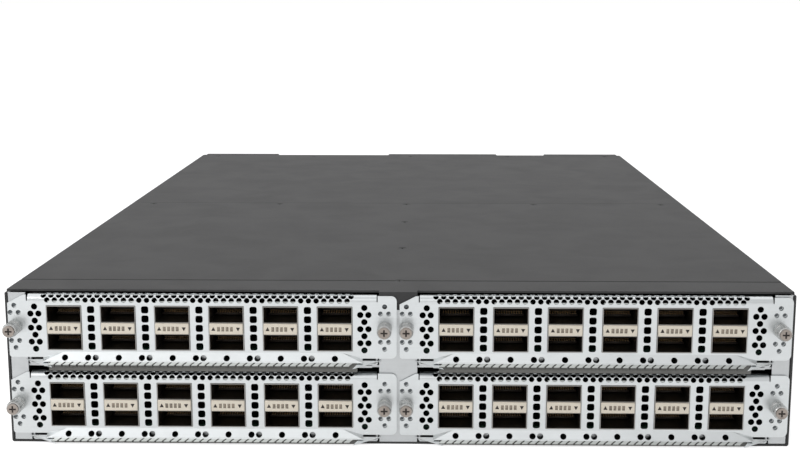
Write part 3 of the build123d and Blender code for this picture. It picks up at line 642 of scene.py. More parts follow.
def slot_place(slot):
    """The middle of a slot's width and the height of its floor."""
    return middle_of(f"faceplate_{slot}").x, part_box(f"faceplate_{slot}")[1].z - CAD_PLATE_TOP


def port_columns():
    p = plates()
    first = p.port_shift - (p.port_columns - 1) * p.port_pitch / 2
    return [first + i * p.port_pitch for i in range(p.port_columns)]


def vent_columns():
    columns = port_columns()
    return [(a + b) / 2 for a, b in zip(columns, columns[1:])]


# Outlines and meshes

def circle(radius, sides=48):
    return [(radius * cos(2 * pi * i / sides), radius * sin(2 * pi * i / sides)) for i in range(sides)]


def arc(centre, radius, start, end, count=5):
    """Points along an arc, with angles in degrees."""
    turns = [radians(start + (end - start) * i / (count - 1)) for i in range(count)]
    return [(centre[0] + radius * cos(t), centre[1] + radius * sin(t)) for t in turns]


def rectangle(left, low, right, high):
    return [(left, low), (right, low), (right, high), (left, high)]


def mesh_of(name, build):
    """A mesh filled by a function that works on a bmesh."""
    work = bmesh.new()
    build(work)
    mesh = bpy.data.meshes.new(name)
    work.to_mesh(mesh)
    work.free()
    return mesh


def block(low, high, edge=0.0):
    """A box between two corners, with rounded edges."""
    low, high = Vector(low), Vector(high)

    def build(work):
        bmesh.ops.create_cube(work, size=1.0)
        bmesh.ops.scale(work, vec=high - low, verts=work.verts)
        bmesh.ops.translate(work, vec=(low + high) / 2, verts=work.verts)
        if edge:
            bmesh.ops.bevel(
                work, geom=work.edges[:], offset=edge, segments=2, affect="EDGES", clamp_overlap=True
            )

    return mesh_of("block", build)


def lofted(rings, joined=False):
    """A skin over rings of points, with its two ends closed or joined to each other."""

    def build(work):
        made = [[work.verts.new(point) for point in ring] for ring in rings]
        following = made[1:] + made[:1] if joined else made[1:]
        for lower, upper in zip(made, following):
            for i in range(len(lower)):
                work.faces.new((lower[i - 1], lower[i], upper[i], upper[i - 1]))
        if not joined:
            work.faces.new(made[0])
            work.faces.new(made[-1])
        bmesh.ops.recalc_face_normals(work, faces=work.faces)

    return mesh_of("lofted", build)


def turned(profile, sides):
    """A shape turned round the Z axis from (radius, height) pairs, with closed ends."""
    return lofted([[(x, y, height) for x, y in circle(radius, sides)] for radius, height in profile])


def prism(outline, depth):
    """An outline in XY raised along Z."""
    return lofted([[(x, y, z) for x, y in outline] for z in (0.0, depth)])


def ribbon(path, low_x, high_x, thickness, lean=0.0, lean_steps=1):
    """A bent strip whose middle line runs through (y, z) points, leaning sideways over its first steps."""
    rings = []
    for i, (y, z) in enumerate(path):
        before, after = Vector(path[max(i - 1, 0)]), Vector(path[min(i + 1, len(path) - 1)])
        along = (after - before).normalized()
        out = Vector((-along.y, along.x)) * thickness / 2
        shift = lean * min(i / lean_steps, 1.0)
        corners = ((-1, low_x), (-1, high_x), (1, high_x), (1, low_x))
        rings.append([(x + shift, y + side * out.x, z + side * out.y) for side, x in corners])
    return lofted(rings)


def hoop(radius, wire, sides=40, facets=8):
    """A wire bent to a ring about the Z axis."""
    turns = [2 * pi * i / sides for i in range(sides)]
    section = [(radius + x, z) for x, z in circle(wire, facets)]
    return lofted([[(reach * cos(t), reach * sin(t), z) for reach, z in section] for t in turns], True)


def gusset(corners, thickness):
    """A thin three-cornered plate behind its corners."""
    a, b, c = (Vector(corner) for corner in corners)
    out = (b - a).cross(c - a).normalized()
    if out.y > 0:
        out = -out
    return lofted([(a, b, c), [point - out * thickness for point in (a, b, c)]])


def sheet(loops, thickness, coat, holes=(), hole_sides=24, **shapes):
    """A flat sheet between closed outlines, with (kind, x, y, radius) holes; shapes sizes the square ones."""
    points, edges = [], []
    for loop in loops:
        first = len(points)
        points += [(x, y, 0.0) for x, y in loop]
        edges += [(first + i, first + (i + 1) % len(loop)) for i in range(len(loop))]
    kinds = [0] * len(points) + [hole[0] for hole in holes]
    radii = [0.0] * len(points) + [hole[3] for hole in holes]
    points += [(x, y, 0.0) for _, x, y, _ in holes]
    mesh = bpy.data.meshes.new("sheet_outline")
    mesh.from_pydata(points, edges, [])
    mesh.attributes.new("kind", "INT", "POINT").data.foreach_set("value", kinds)
    mesh.attributes.new("radius", "FLOAT", "POINT").data.foreach_set("value", radii)
    return grown(mesh, "perforated_sheet", coat, thickness=thickness, hole_sides=hole_sides, **shapes)


def crossed_disc(radius, sides, arm, wide, thickness, coat):
    """The flat end of a screw, with its cross recess cut through."""
    cross, corner = [], [(arm, -wide), (arm, wide), (wide, wide)]
    for _ in range(4):
        cross += corner
        corner = [(-y, x) for x, y in corner]
    return sheet([circle(radius, sides), cross], thickness, coat)


def softened(node, width, coat, cutter=None):
    """A copy of a CAD node with its sharp edges rounded, as folded and painted sheet has them."""

    def build(work):
        work.from_mesh(NODES[node].data)
        bmesh.ops.remove_doubles(work, verts=work.verts, dist=WELD)
        bmesh.ops.dissolve_limit(work, angle_limit=FLAT_ANGLE, verts=work.verts, edges=work.edges)
        sharp = [e for e in work.edges if len(e.link_faces) == 2 and e.calc_face_angle() > SHARP_ANGLE]
        bmesh.ops.bevel(
            work, geom=sharp, offset=width, segments=2, profile=0.6, affect="EDGES", clamp_overlap=True
        )

    mesh = mesh_of(f"{node}_soft", build)
    if cutter:
        mesh = dimpled(mesh, cutter)
    mesh.materials.clear()
    mesh.materials.append(finish(coat))
    return mesh


def dimpled(mesh, cutter):
    """A mesh with the shape of another cut out of it."""
    target, tool = linked("target", mesh), linked("tool", cutter)
    cut = target.modifiers.new("cut", "BOOLEAN")
    cut.operation = "DIFFERENCE"
    cut.object = tool
    made = applied(target)
    bpy.data.objects.remove(tool)
    return made


# Faceplates

ROW_ENDS = (-0.0865, 0.0835)  # the row along the top bend, from a faceplate's middle
PAIR_HALF = 0.00215  # half the distance of the paired holes in a lip
LIP_HOLE_SHARE = 0.42  # how far up a lip its holes are
SCREW_CLEAR = 1.5  # steps of the diamond that stay free round a captive screw
FOLD_RELIEF = 0.0006  # width of the cut beside the top bend
FOLD_STEPS = 7
VENT_CORNER = 0.28  # corner radius of a square vent, as a share of its side
WINDOW_CORNER = 0.0004
LIP_END_SHARE = 0.6  # thickness of a lip's end plate, as a share of the sheet
TAB_ROOT, TAB_TIP = 0.001, 0.0055  # how far a tab's inner corners lie inside the end of the lip


def face_outline():
    """The outline of a faceplate with its top laid flat: round right ear, cut upper left corner."""
    p = plates()
    r = p.ear_round
    small = r / 2
    fold = p.top - p.bend
    flat_top = fold + p.bend * pi / 2 + p.flange_depth - p.bend
    relief = p.flange_half + FOLD_RELIEF
    flange = [(relief, p.top), (relief, fold), (p.flange_half, fold), (p.flange_half, flat_top)]
    return [
        *arc((-p.half_width + small, p.ear_bottom + small), small, 180, 270),
        (-p.lip_half, p.ear_bottom),
        (-p.lip_crease, p.lip_top),
        (p.lip_crease, p.lip_top),
        (p.lip_half, p.ear_bottom),
        *arc((p.half_width - r, p.ear_bottom + r), r, -90, 0),
        *arc((p.half_width - r, p.top - r), r, 0, 90),
        *flange,
        *[(-x, y) for x, y in reversed(flange)],
        (-p.half_width + p.ear_cut_width, p.top),
        (-p.half_width, p.top - p.ear_cut_height),
    ]


def folded_top(mesh):
    """The flat sheet with its top rolled back round the bend."""
    p = plates()
    fold, quarter = p.top - p.bend, p.bend * pi / 2

    def build(work):
        work.from_mesh(mesh)
        ears = {v for v in work.verts if abs(v.co.x) > p.flange_half + 1e-5}
        for i in range(FOLD_STEPS + 1):
            middle = [f for f in work.faces if not any(v in ears for v in f.verts)]
            around = {*middle, *(e for f in middle for e in f.edges), *(v for f in middle for v in f.verts)}
            cut = (0, fold + quarter * i / FOLD_STEPS, 0)
            bmesh.ops.bisect_plane(work, geom=list(around), plane_co=cut, plane_no=(0, 1, 0), dist=TINY)
        for v in work.verts:
            if v in ears or v.co.y <= fold:
                continue
            radius = p.bend - p.wall + v.co.z
            turn = min((v.co.y - fold) / p.bend, pi / 2)
            rest = max(v.co.y - fold - quarter, 0.0)
            v.co.y = fold + radius * sin(turn)
            v.co.z = p.wall - (p.bend - radius * cos(turn) + rest)

    return mesh_of("folded_face", build)


def diamond(x, z, radius, clear=0.0):
    """The round vents of a diamond field about a point: one, two, one and so on upwards."""
    p = plates()
    places = []
    for row in range(-3, 4):
        rise = row * p.diamond_step
        for dx in (0.0,) if row % 2 else (-p.diamond_spread, p.diamond_spread):
            if abs(rise) >= clear:
                places.append((ROUND, x + dx, z + rise, radius))
    return places


def ear_ring(x, z):
    """The holes round a captive screw."""
    p = plates()
    return diamond(x, z, p.ear_hole, SCREW_CLEAR * p.diamond_step)


def face_holes():
    """Windows, vents, ear holes and the rows of holes along a faceplate's top."""
    p = plates()
    holes = [(WINDOW, x, p.window_middle, 0.0) for x in port_columns()]
    for x in vent_columns():
        holes += [(SQUARE, x, p.window_middle + i * p.vent_pitch, 0.0) for i in range(-2, 3)]
    for side in (-1, 1):
        holes += diamond(p.port_shift + side * p.diamond_x, p.window_middle, p.hole_radius)
        screw = p.port_shift + side * p.screw_x
        holes += ear_ring(screw, p.screw_height)
        holes.append((ROUND, screw, p.screw_height, p.screw_hole))
    for row in range(p.rows):
        first = ROW_ENDS[0] - (row % 2) * p.row_pitch / 2
        count = int((ROW_ENDS[1] - first) / p.row_pitch) + 1
        height = p.row_height + row * p.row_step
        holes += [(ROUND, first + i * p.row_pitch, height, p.row_radius) for i in range(count)]
    return holes


def lip_holes(slope):
    """Holes along the lip: one under each port column and two under each strip of vents."""
    places = port_columns() + [x + side * PAIR_HALF for x in vent_columns() for side in (-1, 1)]
    return [(ROUND, x, slope * LIP_HOLE_SHARE, plates().hole_radius) for x in sorted(places)]


def faceplate_mesh():
    """A whole faceplate about its slot's middle and floor: face, top bend and flange, lip and end tabs."""
    p = plates()
    metal = "bright_plating"
    shapes = dict(
        hole_sides=16, square_side=p.vent_side, square_corner=p.vent_side * VENT_CORNER,
        window_width=p.window_width, window_height=p.window_height, window_corner=WINDOW_CORNER,
    )
    face_y = FRONT_Y - p.sheet
    pile = Pile()
    face = sheet([face_outline()], p.wall, metal, face_holes(), **shapes)
    pile.add(folded_top(face), metal, facing_front(0, face_y + p.wall, 0))
    rise = Vector((0, p.lip_reach, p.lip_top - p.lip_bottom))
    slope, lip_up = rise.length, rise.normalized()
    across = Vector((1, 0, 0))
    lip_out = across.cross(lip_up)
    loop = [(-p.lip_half, 0), (p.lip_half, 0), (p.lip_crease, slope), (-p.lip_crease, slope)]
    lip = sheet([loop], p.wall, metal, lip_holes(slope), **shapes)
    foot = Vector((0, face_y - p.lip_reach, p.lip_bottom))
    pile.add(lip, metal, axes(across, lip_up, lip_out, foot - lip_out * p.wall))
    slot_height = p.ear_bottom - p.tab_slot
    for side in (-1, 1):
        end = [
            (side * p.lip_crease, face_y, p.lip_top),
            (side * p.lip_half, face_y, p.ear_bottom),
            (side * p.lip_half, face_y - p.lip_reach, p.lip_bottom),
        ]
        tab = [
            (side * p.lip_tab, face_y, slot_height),
            (side * (p.lip_half - TAB_ROOT), face_y, slot_height),
            (side * (p.lip_half - TAB_TIP), face_y - p.tab_reach, slot_height - p.tab_drop),
        ]
        pile.add(gusset(end, p.sheet * LIP_END_SHARE), metal).add(gusset(tab, p.wall), metal)
    return pile.mesh("faceplate_master")


class SWITCH_OT_faceplates(bpy.types.Operator):
    """Makes the four perforated faceplates"""

    bl_idname = "switch.faceplates"
    bl_label = "Perforated faceplates"

    def execute(self, context):
        master = faceplate_mesh()
        for slot in SLOTS:
            x, z = slot_place(slot)
            pile = Pile().add(master, "bright_plating", at(x, 0, z))
            pile.piece(f"perforated_front_{slot}", f"faceplate_{slot}")
        return {"FINISHED"}


# Ports, gaskets and screws

ARROWS = ((-0.0071, 1), (0.0067, -1))  # place along a light bar, and up or down
ARROW_HALF, ARROW_FOOT, ARROW_TIP = 0.0011, 0.0009, 0.0012
BAR_WINDOWS, BAR_WINDOW_FIRST, BAR_WINDOW_PITCH = 4, -0.0042, 0.0024
PORT_DEPTH, CONNECTOR_DEPTH, CONNECTOR_HALF = 0.0438, 0.028, 0.0085
JAWS = ((0.0003, 0.0019), (0.0037, 0.0054))  # bottom and top of a connector's two jaws
CONTACTS, CONTACT_HEIGHTS = 11, (0.002, 0.0032)
SPRING_HALF = 0.0091
FINGER_SHARE = 0.76  # width of a gasket finger, as a share of the pitch
FINGER_SHEET = 0.0002
GASKET_END = 0.003  # how far a gasket stops before the end of its lip


class SWITCH_OT_ports(bpy.types.Operator):
    """Makes the light bars and the contacts inside the ports"""

    bl_idname = "switch.ports"
    bl_label = "Ports and light bars"

    def execute(self, context):
        p = plates()
        for slot in SLOTS:
            first = slot_place(slot)[0] + port_columns()[0]
            columns = (p.port_columns, p.port_pitch)
            self.bars(slot, first, columns)
            self.contacts(slot, first, columns)
            self.springs(slot, first, columns)
        return {"FINISHED"}

    def bars(self, slot, first, columns):
        """The light bar between the two ports of each column, with its arrows and unlit windows."""
        node = f"light_bars_{slot}"
        low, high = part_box(node)
        half = (high.x - low.x - (columns[0] - 1) * columns[1]) / 2
        up = (high.z - low.z) / 2
        bar = block((-half, low.y + 0.00012, -up), (half, high.y, up), 0.0003)
        parts = [(bar, "cream_moulding")]
        for place, way in ARROWS:
            foot = -ARROW_FOOT * way
            arrow = prism([(-ARROW_HALF, foot), (ARROW_HALF, foot), (0.0, ARROW_TIP * way)], 0.0002)
            arrow.transform(facing_front(place, low.y + 0.0002, 0))
            parts.append((arrow, "mark_ink"))
        for i in range(BAR_WINDOWS):
            x = BAR_WINDOW_FIRST + BAR_WINDOW_PITCH * i
            near, far = (x - 0.0009, low.y + 0.00005, -0.0014), (x + 0.0009, low.y + 0.0006, 0.0014)
            parts.append((block(near, far, 0.00012), "unlit_window"))
        pile = Pile()
        for mesh, coat in parts:
            pile.row(mesh, coat, *columns, (first, 0, (low.z + high.z) / 2))
        pile.piece(f"marked_bars_{slot}", node)

    def contacts(self, slot, first, columns):
        """The moulded connector and its two rows of contacts in each port."""
        node = f"port_cages_{slot}"
        pitch = sizes().contact_pitch
        middle = Vector((-(CONTACTS - 1) / 2 * pitch, 0, 0))
        back = CAGE_FRONT_Y + PORT_DEPTH
        front = back - CONNECTOR_DEPTH
        pile = Pile()
        for floor in (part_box(node)[0].z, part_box(f"light_bars_{slot}")[1].z):
            start = (first, 0, floor + 0.0006)
            for low, high in JAWS:
                jaw = block((-CONNECTOR_HALF, front, low), (CONNECTOR_HALF, back, high), 0.0003)
                pile.row(jaw, "port_moulding", *columns, start)
            for height in CONTACT_HEIGHTS:
                blade = block((-0.0003, front - 0.001, height), (0.0003, back - 0.003, height + 0.0004))
                line = grown(
                    blade, "row_of_pieces", "contact_metal", count=CONTACTS, pitch=pitch, start=middle
                )
                pile.row(line, "contact_metal", *columns, start)
        pile.piece(f"port_contacts_{slot}", node, replaces=False)

    def springs(self, slot, first, columns):
        """The spring strip on each cage, seen through the rows of holes, and the studs behind the lip."""
        p = plates()
        count, pitch = columns
        z = slot_place(slot)[1]
        top = p.window_middle + p.window_height / 2
        back = FRONT_Y - p.sheet + p.wall
        path = [
            (FRONT_Y + 0.006, top - 0.0003), (back + 0.0012, top + 0.0002),
            (back + 0.0003, top + 0.0012), (back + 0.0003, top + 0.0024),
        ]
        pile = Pile()
        pile.row(ribbon(path, -SPRING_HALF, SPRING_HALF, 0.0003), "spring_steel", *columns, (first, 0, z))
        stud = turned([(0.0024, 0.0), (0.0024, 0.0022), (0.0015, 0.0034)], 12)
        stud.transform(facing_front(0, FRONT_Y + 0.0042, 0))
        place = (first + pitch / 2 + PAIR_HALF, 0, z + 0.0046)
        pile.row(stud, "rail_plating", count - 1, pitch, place)
        pile.piece(f"cage_springs_{slot}", f"gasket_{slot}", replaces=False)


class SWITCH_OT_gaskets(bpy.types.Operator):
    """Makes the slanted spring fingers under the lips"""

    bl_idname = "switch.gaskets"
    bl_label = "Spring finger gaskets"

    def execute(self, context):
        s, p = sizes(), plates()
        wide = s.finger_pitch * FINGER_SHARE
        span = p.lip_half - GASKET_END
        count = int((2 * span - s.finger_slant) / s.finger_pitch)
        for slot in SLOTS:
            x, z = slot_place(slot)
            foot = z - (s.finger_drop if slot.startswith("upper") else z - 0.0003)
            start = Vector((FRONT_Y - p.sheet - p.lip_reach, z + p.lip_bottom))
            tip = start + Vector((-0.0007, -0.0014))
            leaf = [
                start + Vector((0.0004, 0.0004)), start + Vector((-0.0002, -0.0005)), tip,
                tip + Vector((0.0002, -0.0004)), tip + Vector((0.0009, -0.0008)),
                Vector((tip.x + 0.0024, max(foot + 0.0003, tip.y - 0.0024))), Vector((tip.x + 0.0034, foot)),
            ]
            finger = ribbon(leaf[:4], 0.0, wide, FINGER_SHEET, -s.finger_slant, 2)
            return_leg = ribbon(leaf[3:], -s.finger_slant, wide - s.finger_slant, FINGER_SHEET)
            pile = Pile()
            # Painted shade: the return leg, which faces down, takes a dark grey finish instead of the
            # fingers' spring steel
            for mesh, coat in ((finger, "spring_steel"), (return_leg, "gasket_shade")):
                pile.row(mesh, coat, count, s.finger_pitch, (x - span + s.finger_slant, 0, 0))
            root_y, shade_y = start.x + 0.0002, start.x + 0.0017
            root = block((x - span, root_y, start.y), (x + span, root_y + 0.0009, start.y + 0.0006), 0.0001)
            pile.add(root, "spring_steel")
            # Painted shade: a dark grey strip behind the fingers stands for the shade under the lip
            low, high = (x - span, shade_y, foot + 0.0001), (x + span, shade_y + 0.0003, start.y + 0.0004)
            pile.add(block(low, high), "gasket_shade")
            pile.piece(f"spring_fingers_{slot}", f"gasket_{slot}")
        return {"FINISHED"}


KNOB = 0.012  # length of a captive screw's knob
NECK_LOW, NECK_HIGH = 0.0030, 0.0042  # the groove between the short and the long knurls
KNURLS = ((0.0005, 0.0026), (0.0043, 0.0061))  # start and length of the knurls
CORE_SHARE, SHANK_SHARE = 0.9, 0.42  # of the radius over the knurls
NECK_SHARE, KNURL_ROOT_SHARE = 0.86, 0.97  # of the core's radius


class SWITCH_OT_screws(bpy.types.Operator):
    """Makes the knurled captive screws"""

    bl_idname = "switch.screws"
    bl_label = "Captive screws"

    def execute(self, context):
        for slot in SLOTS:
            for side in ("left", "right"):
                self.screw(f"screw_{side}_{slot}", facing_front, KNOB)
        for side in FANS:
            self.screw(f"fan_screw_{side}", facing_rear, -KNOB)
        return {"FINISHED"}

    def screw(self, node, facing, setback):
        """A screw with its knob end on the outer side; setback runs from there to the seat."""
        low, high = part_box(node)
        middle = middle_of(node)
        steel = "knurled_steel"
        radius = (high.x - low.x) / 2
        core, shank = radius * CORE_SHARE, radius * SHANK_SHARE
        neck, root = core * NECK_SHARE, core * KNURL_ROOT_SHARE
        pile = Pile()
        pile.add(turned(
            [(core * 0.8, 0.0), (core, 0.0006), (core, NECK_LOW), (neck, NECK_LOW + 0.0003),
             (neck, NECK_HIGH - 0.0003), (core, NECK_HIGH), (core, KNOB - 0.0014),
             (core * 0.9, KNOB - 0.0009), (core * 0.9, KNOB - 0.0012)], 32,
        ), steel)
        ridge = [(root, -0.00026), (radius, -0.00006), (radius, 0.00006), (root, 0.00026)]
        for start, reach in KNURLS:
            ring = grown(prism(ridge, reach), "ring_of_pieces", steel, count=sizes().knurl_count)
            pile.add(ring, steel, at(0, 0, start))
        end = crossed_disc(neck, 32, core * 0.52, core * 0.13, 0.0007, "screw_end")
        pile.add(end, "screw_end", at(0, 0, KNOB - 0.0007))
        # Painted shade: a dark disc at the floor of the cross recess stands for the shade in the recess
        ground = turned([(neck * 0.9, 0.0), (neck * 0.9, 0.0003)], 24)
        pile.add(ground, "recess_dark", at(0, 0, KNOB - 0.00085))
        pile.add(turned([(shank, KNOB - (high.y - low.y) + 0.0004), (shank, 0.0)], 16), steel)
        outer = low.y if setback > 0 else high.y
        pile.move(facing(middle.x, outer + setback, middle.z)).piece(f"{node}_knurled", node)


# Housing

TOP_DEPTHS = (0.030, 0.131, 0.234)  # screws down the middle of the front cover, from the front
TOP_SHARES = (-0.92, -0.46, 0.0, 0.46, 0.92)  # screws across the seam and the rear edge
SIDE_SHARES = (0.06, 0.27, 0.46, 0.54, 0.75, 0.95)  # screws along the sides
SEAM_INSET, REAR_INSET, SIDE_INSET = 0.006, 0.012, 0.006  # from those edges to the screws
# Painted shade: flat grey discs on the posts stand for shaded holes in the posts; their radius is a share of
# an ear's hole
POST_SHADE_SHARE = 0.85  # radius of a hole in a post, as a share of an ear's hole
POST_SHIFT_X, POST_SHIFT_Z = -0.0003, 0.0004


class SWITCH_OT_housing(bpy.types.Operator):
    """Rounds the edges of covers, tray, posts and shelves, and adds the flush cover screws"""

    bl_idname = "switch.housing"
    bl_label = "Chassis and covers"

    def execute(self, context):
        edge = sizes().soft_edge
        top, sides = self.top_places(), self.side_places()
        for node in ("front_cover", "rear_cover"):
            near = [place for place in top if (place.translation.y < SEAM_Y) == (node == "front_cover")]
            placed(f"{node}_painted", softened(node, edge, "dark_powder_coat", self.cutters(near)), node)
        for node in ("chassis_tray", "side_posts", "centre_divider", "slot_shelves", "bay_frame"):
            sinks = self.cutters(sides) if node == "chassis_tray" else None
            placed(f"{node}_folded", softened(node, edge, NODE_FINISH[SLOT_OF[node]], sinks), node)
        self.cover_screws(top + sides)
        self.post_holes()
        return {"FINISHED"}

    def post_holes(self):
        """Flat grey discs on the posts, painted shade that stands for holes in the posts, a little out of
        line with the holes in the ears.
        """
        p = plates()
        radius = p.ear_hole * POST_SHADE_SHARE
        disc = turned([(radius, 0.0), (radius, 0.0002)], 14)
        pile = Pile()
        for slot in SLOTS:
            x, z = slot_place(slot)
            for side in (-1, 1):
                for _, hole_x, hole_z, _ in ear_ring(x + p.port_shift + side * p.screw_x, z + p.screw_height):
                    place = facing_front(hole_x + POST_SHIFT_X, FRONT_Y, hole_z + POST_SHIFT_Z)
                    pile.add(disc, "post_hole", place)
        pile.piece("post_holes", "side_posts", replaces=False)

    def top_places(self):
        """Flush screws down the middle of the front cover, along the seam and along the rear edge."""
        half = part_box("front_cover")[1].x
        flat = [(0.0, FRONT_Y + depth) for depth in TOP_DEPTHS]
        rows = (SEAM_Y - SEAM_INSET, REAR_Y - REAR_INSET)
        flat += [(half * share, y) for y in rows for share in TOP_SHARES]
        return [at(x, y, TOP_Z) for x, y in flat]

    def side_places(self):
        """Flush screws through the sides into the covers' folded edges."""
        side_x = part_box("chassis_tray")[1].x
        depth, z = REAR_Y - FRONT_Y, TOP_Z - SIDE_INSET
        return [
            axes((0, way, 0), (0, 0, 1), (way, 0, 0), (way * side_x, FRONT_Y + share * depth, z))
            for way in (-1, 1) for share in SIDE_SHARES
        ]

    def cutters(self, places):
        """Shallow countersinks, joined to one cutting shape."""
        radius = sizes().cover_screw
        pile = Pile()
        sink = turned([(radius * 1.02, -0.0007), (radius * 1.02, -0.0003), (radius * 1.3, 0.0004)], 24)
        for place in places:
            pile.add(sink, "dark_powder_coat", place)
        return pile.mesh("sinks")

    def cover_screws(self, places):
        """The heads of the flush screws, each with a cross recess."""
        radius = sizes().cover_screw
        head = crossed_disc(radius, 24, radius * 0.55, radius * 0.16, 0.0005, "dark_powder_coat")
        pile = Pile()
        for place in places:
            pile.add(head, "dark_powder_coat", place @ at(0, 0, -0.00065))
        pile.piece("flush_cover_screws", "front_cover", replaces=False)


# Rear pieces

SUPPLY_VENTS = 9  # vents in the first row over and under an inlet
INLET_BLADES = ((-0.007, -0.0018), (0.007, -0.0018), (0.0, 0.0022))
SUPPLY_WIRE = 0.00045
GUARD_SHARES = (0.28, 0.52, 0.76)  # radii of a guard's wires
JACK_WIRES, JACK_WIRE_PITCH = 8, 0.00102
JACK_RIM, JACK_LAMP = 0.0009, 0.0048


def strap_mesh():
    """A pull strap that stands on the rear face about the middle of its height."""
    r = rear_sizes()
    half = (r.strap_height - r.strap_sheet) / 2
    bend = 0.004
    turn_y = REAR_Y + r.strap_reach - r.strap_sheet / 2 - bend
    foot_y = REAR_Y - 0.0003
    path = [
        (foot_y, -half), *arc((turn_y, -half + bend), bend, -90, 0, 7),
        *arc((turn_y, half - bend), bend, 0, 90, 7), (foot_y, half),
    ]
    return ribbon(path, -r.strap_width / 2, r.strap_width / 2, r.strap_sheet)


def guard_opening(inner, outer, quarter):
    """One opening of a fan guard: a quarter of a ring, with its ends beside the spokes."""
    loop = []
    for radius, ahead in ((inner, True), (outer, False)):
        bite = degrees(asin(rear_sizes().guard_spoke / 2 / radius))
        ends = [90 * quarter + bite, 90 * (quarter + 1) - bite]
        loop += arc((0, 0), radius, *(ends if ahead else ends[::-1]), 15)
    return loop


def lamp(radius):
    """A small lens over a lamp."""
    return turned([(radius, 0.0), (radius, 0.0003), (radius - 0.0005, 0.0006)], 16)


class SWITCH_OT_fans(bpy.types.Operator):
    """Makes the fan trays, fan frames and twisted rotors"""

    bl_idname = "switch.fans"
    bl_label = "Fan trays"

    def execute(self, context):
        blade = self.blade()
        for side in FANS:
            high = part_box(f"fan_housing_{side}")[1]
            middle = middle_of(f"fan_housing_{side}")
            self.door(side, middle)
            self.frame(side, middle, high)
            self.rotor(side, middle, blade)
        return {"FINISHED"}

    def door(self, side, middle):
        """A tray's face with its stamped guard, its cheeks and its strap."""
        r = rear_sizes()
        node = f"fan_tray_{side}"
        low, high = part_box(node)
        metal = "rear_plating"
        bend = 2 * r.sheet
        left, right = low.x - middle.x + bend, high.x - middle.x - bend
        loops = [rectangle(-right, low.z - middle.z, -left, high.z - middle.z)]
        for quarter in range(4):
            loops.append(guard_opening(r.guard_hub, r.guard_ring - r.guard_width / 2, quarter))
            loops.append(guard_opening(r.guard_ring + r.guard_width / 2, r.bore, quarter))
        screw = middle_of(f"fan_screw_{side}") - middle
        face = sheet(loops, r.sheet, metal, [(ROUND, -screw.x, screw.z, 0.0022)])
        pile = Pile().add(face, metal, facing_rear(middle.x, REAR_Y - r.sheet, middle.z))
        for way, edge in ((-1, low.x), (1, high.x)):
            inner, turn_x = edge - way * r.sheet, edge - way * bend
            outline = [(inner, low.y), (edge, low.y)]
            for t in (0, 0.5, 1.05, pi / 2):
                outline.append((edge - way * bend * (1 - cos(t)), REAR_Y - bend * (1 - sin(t))))
            outline += [(turn_x, REAR_Y - r.sheet), (inner, REAR_Y - bend)]
            pile.add(prism(outline, high.z - low.z), metal, at(0, 0, low.z))
        pile.add(strap_mesh(), "black_moulding", at(middle.x - r.fitting, 0, middle.z))
        pile.add(lamp(0.0014), "lamp_lens", facing_rear(middle.x + r.fitting, REAR_Y, middle.z + 0.034))
        pile.piece(f"fan_door_{side}", node)

    def frame(self, side, middle, high):
        """A fan's square frame with its round bore, struts and motor plate."""
        r = rear_sizes()
        black = "black_moulding"
        half = high.x - middle.x
        nip, screw = 0.004, half - 0.0042
        corners = ((1, 1), (-1, 1), (-1, -1), (1, -1))
        square = []
        for i, (x, z) in enumerate(corners):
            square += arc((x * (half - nip), z * (half - nip)), nip, 90 * i, 90 * i + 90)
        holes = [(ROUND, x * screw, z * screw, 0.0021) for x in (-1, 1) for z in (-1, 1)]
        body = sheet([square, circle(r.bore)], r.fan_depth, black, holes)
        pile = Pile().add(body, black, facing_front(middle.x, high.y, middle.z))
        front = facing_front(middle.x, high.y - r.fan_depth + r.motor_plate, middle.z)
        pile.add(turned([(r.hub, 0.0), (r.hub, r.motor_plate)], 32), black, front)
        spoke = r.guard_spoke / 2
        strut = block((r.hub - 0.001, -spoke, 0.0), (r.bore + 0.0004, spoke, r.motor_plate), 0.0003)
        for angle in (45, 135, 225, 315):
            pile.add(strut, black, front @ Matrix.Rotation(radians(angle), 4, "Z"))
        pile.piece(f"fan_frame_{side}", f"fan_housing_{side}")

    def rotor(self, side, middle, blade):
        """A hub with its shaft and a ring of blades."""
        r = rear_sizes()
        node = f"fan_rotor_{side}"
        low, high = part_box(node)
        black = "black_moulding"
        depth = r.fan_depth - r.motor_plate - 0.002
        edge = 0.0016
        pile = Pile().add(turned(
            [(r.hub * 0.62, 0.0004), (r.hub * 0.64, 0.0), (r.hub - edge, 0.0),
             (r.hub - edge * 0.3, edge * 0.3), (r.hub, edge), (r.hub, depth)], 40,
        ), black)
        shaft = turned([(0.0025, depth - 0.001), (0.0025, high.y - low.y - 0.0002)], 16)
        pile.add(shaft, "knurled_steel")
        ring = grown(blade, "ring_of_pieces", black, count=r.blades)
        pile.add(ring, black, at(0, 0, depth / 2))
        pile.move(facing_front(middle.x, high.y, middle.z)).piece(f"twisted_rotor_{side}", node)

    def blade(self):
        """A twisted and hollowed blade that stands on the hub along X, about the rotor's axis on Z."""
        r = rear_sizes()
        radial, across = 8, 8

        def point(i, j, skin):
            share, s = i / radial, j / across - 0.5
            radius = r.hub - 0.001 + (r.tip - r.hub + 0.001) * share
            pitch = r.root_pitch + (r.tip_pitch - r.root_pitch) * share
            chord = r.blade_root + (r.blade_tip - r.blade_root) * share
            bulge = 0.07 * chord * (1 - 4 * s * s) + skin * r.blade_sheet / 2 * (1 - 0.75 * (2 * s) ** 4)
            turn = (s * chord * cos(pitch) - bulge * sin(pitch)) / radius
            return radius * cos(turn), radius * sin(turn), s * chord * sin(pitch) + bulge * cos(pitch)

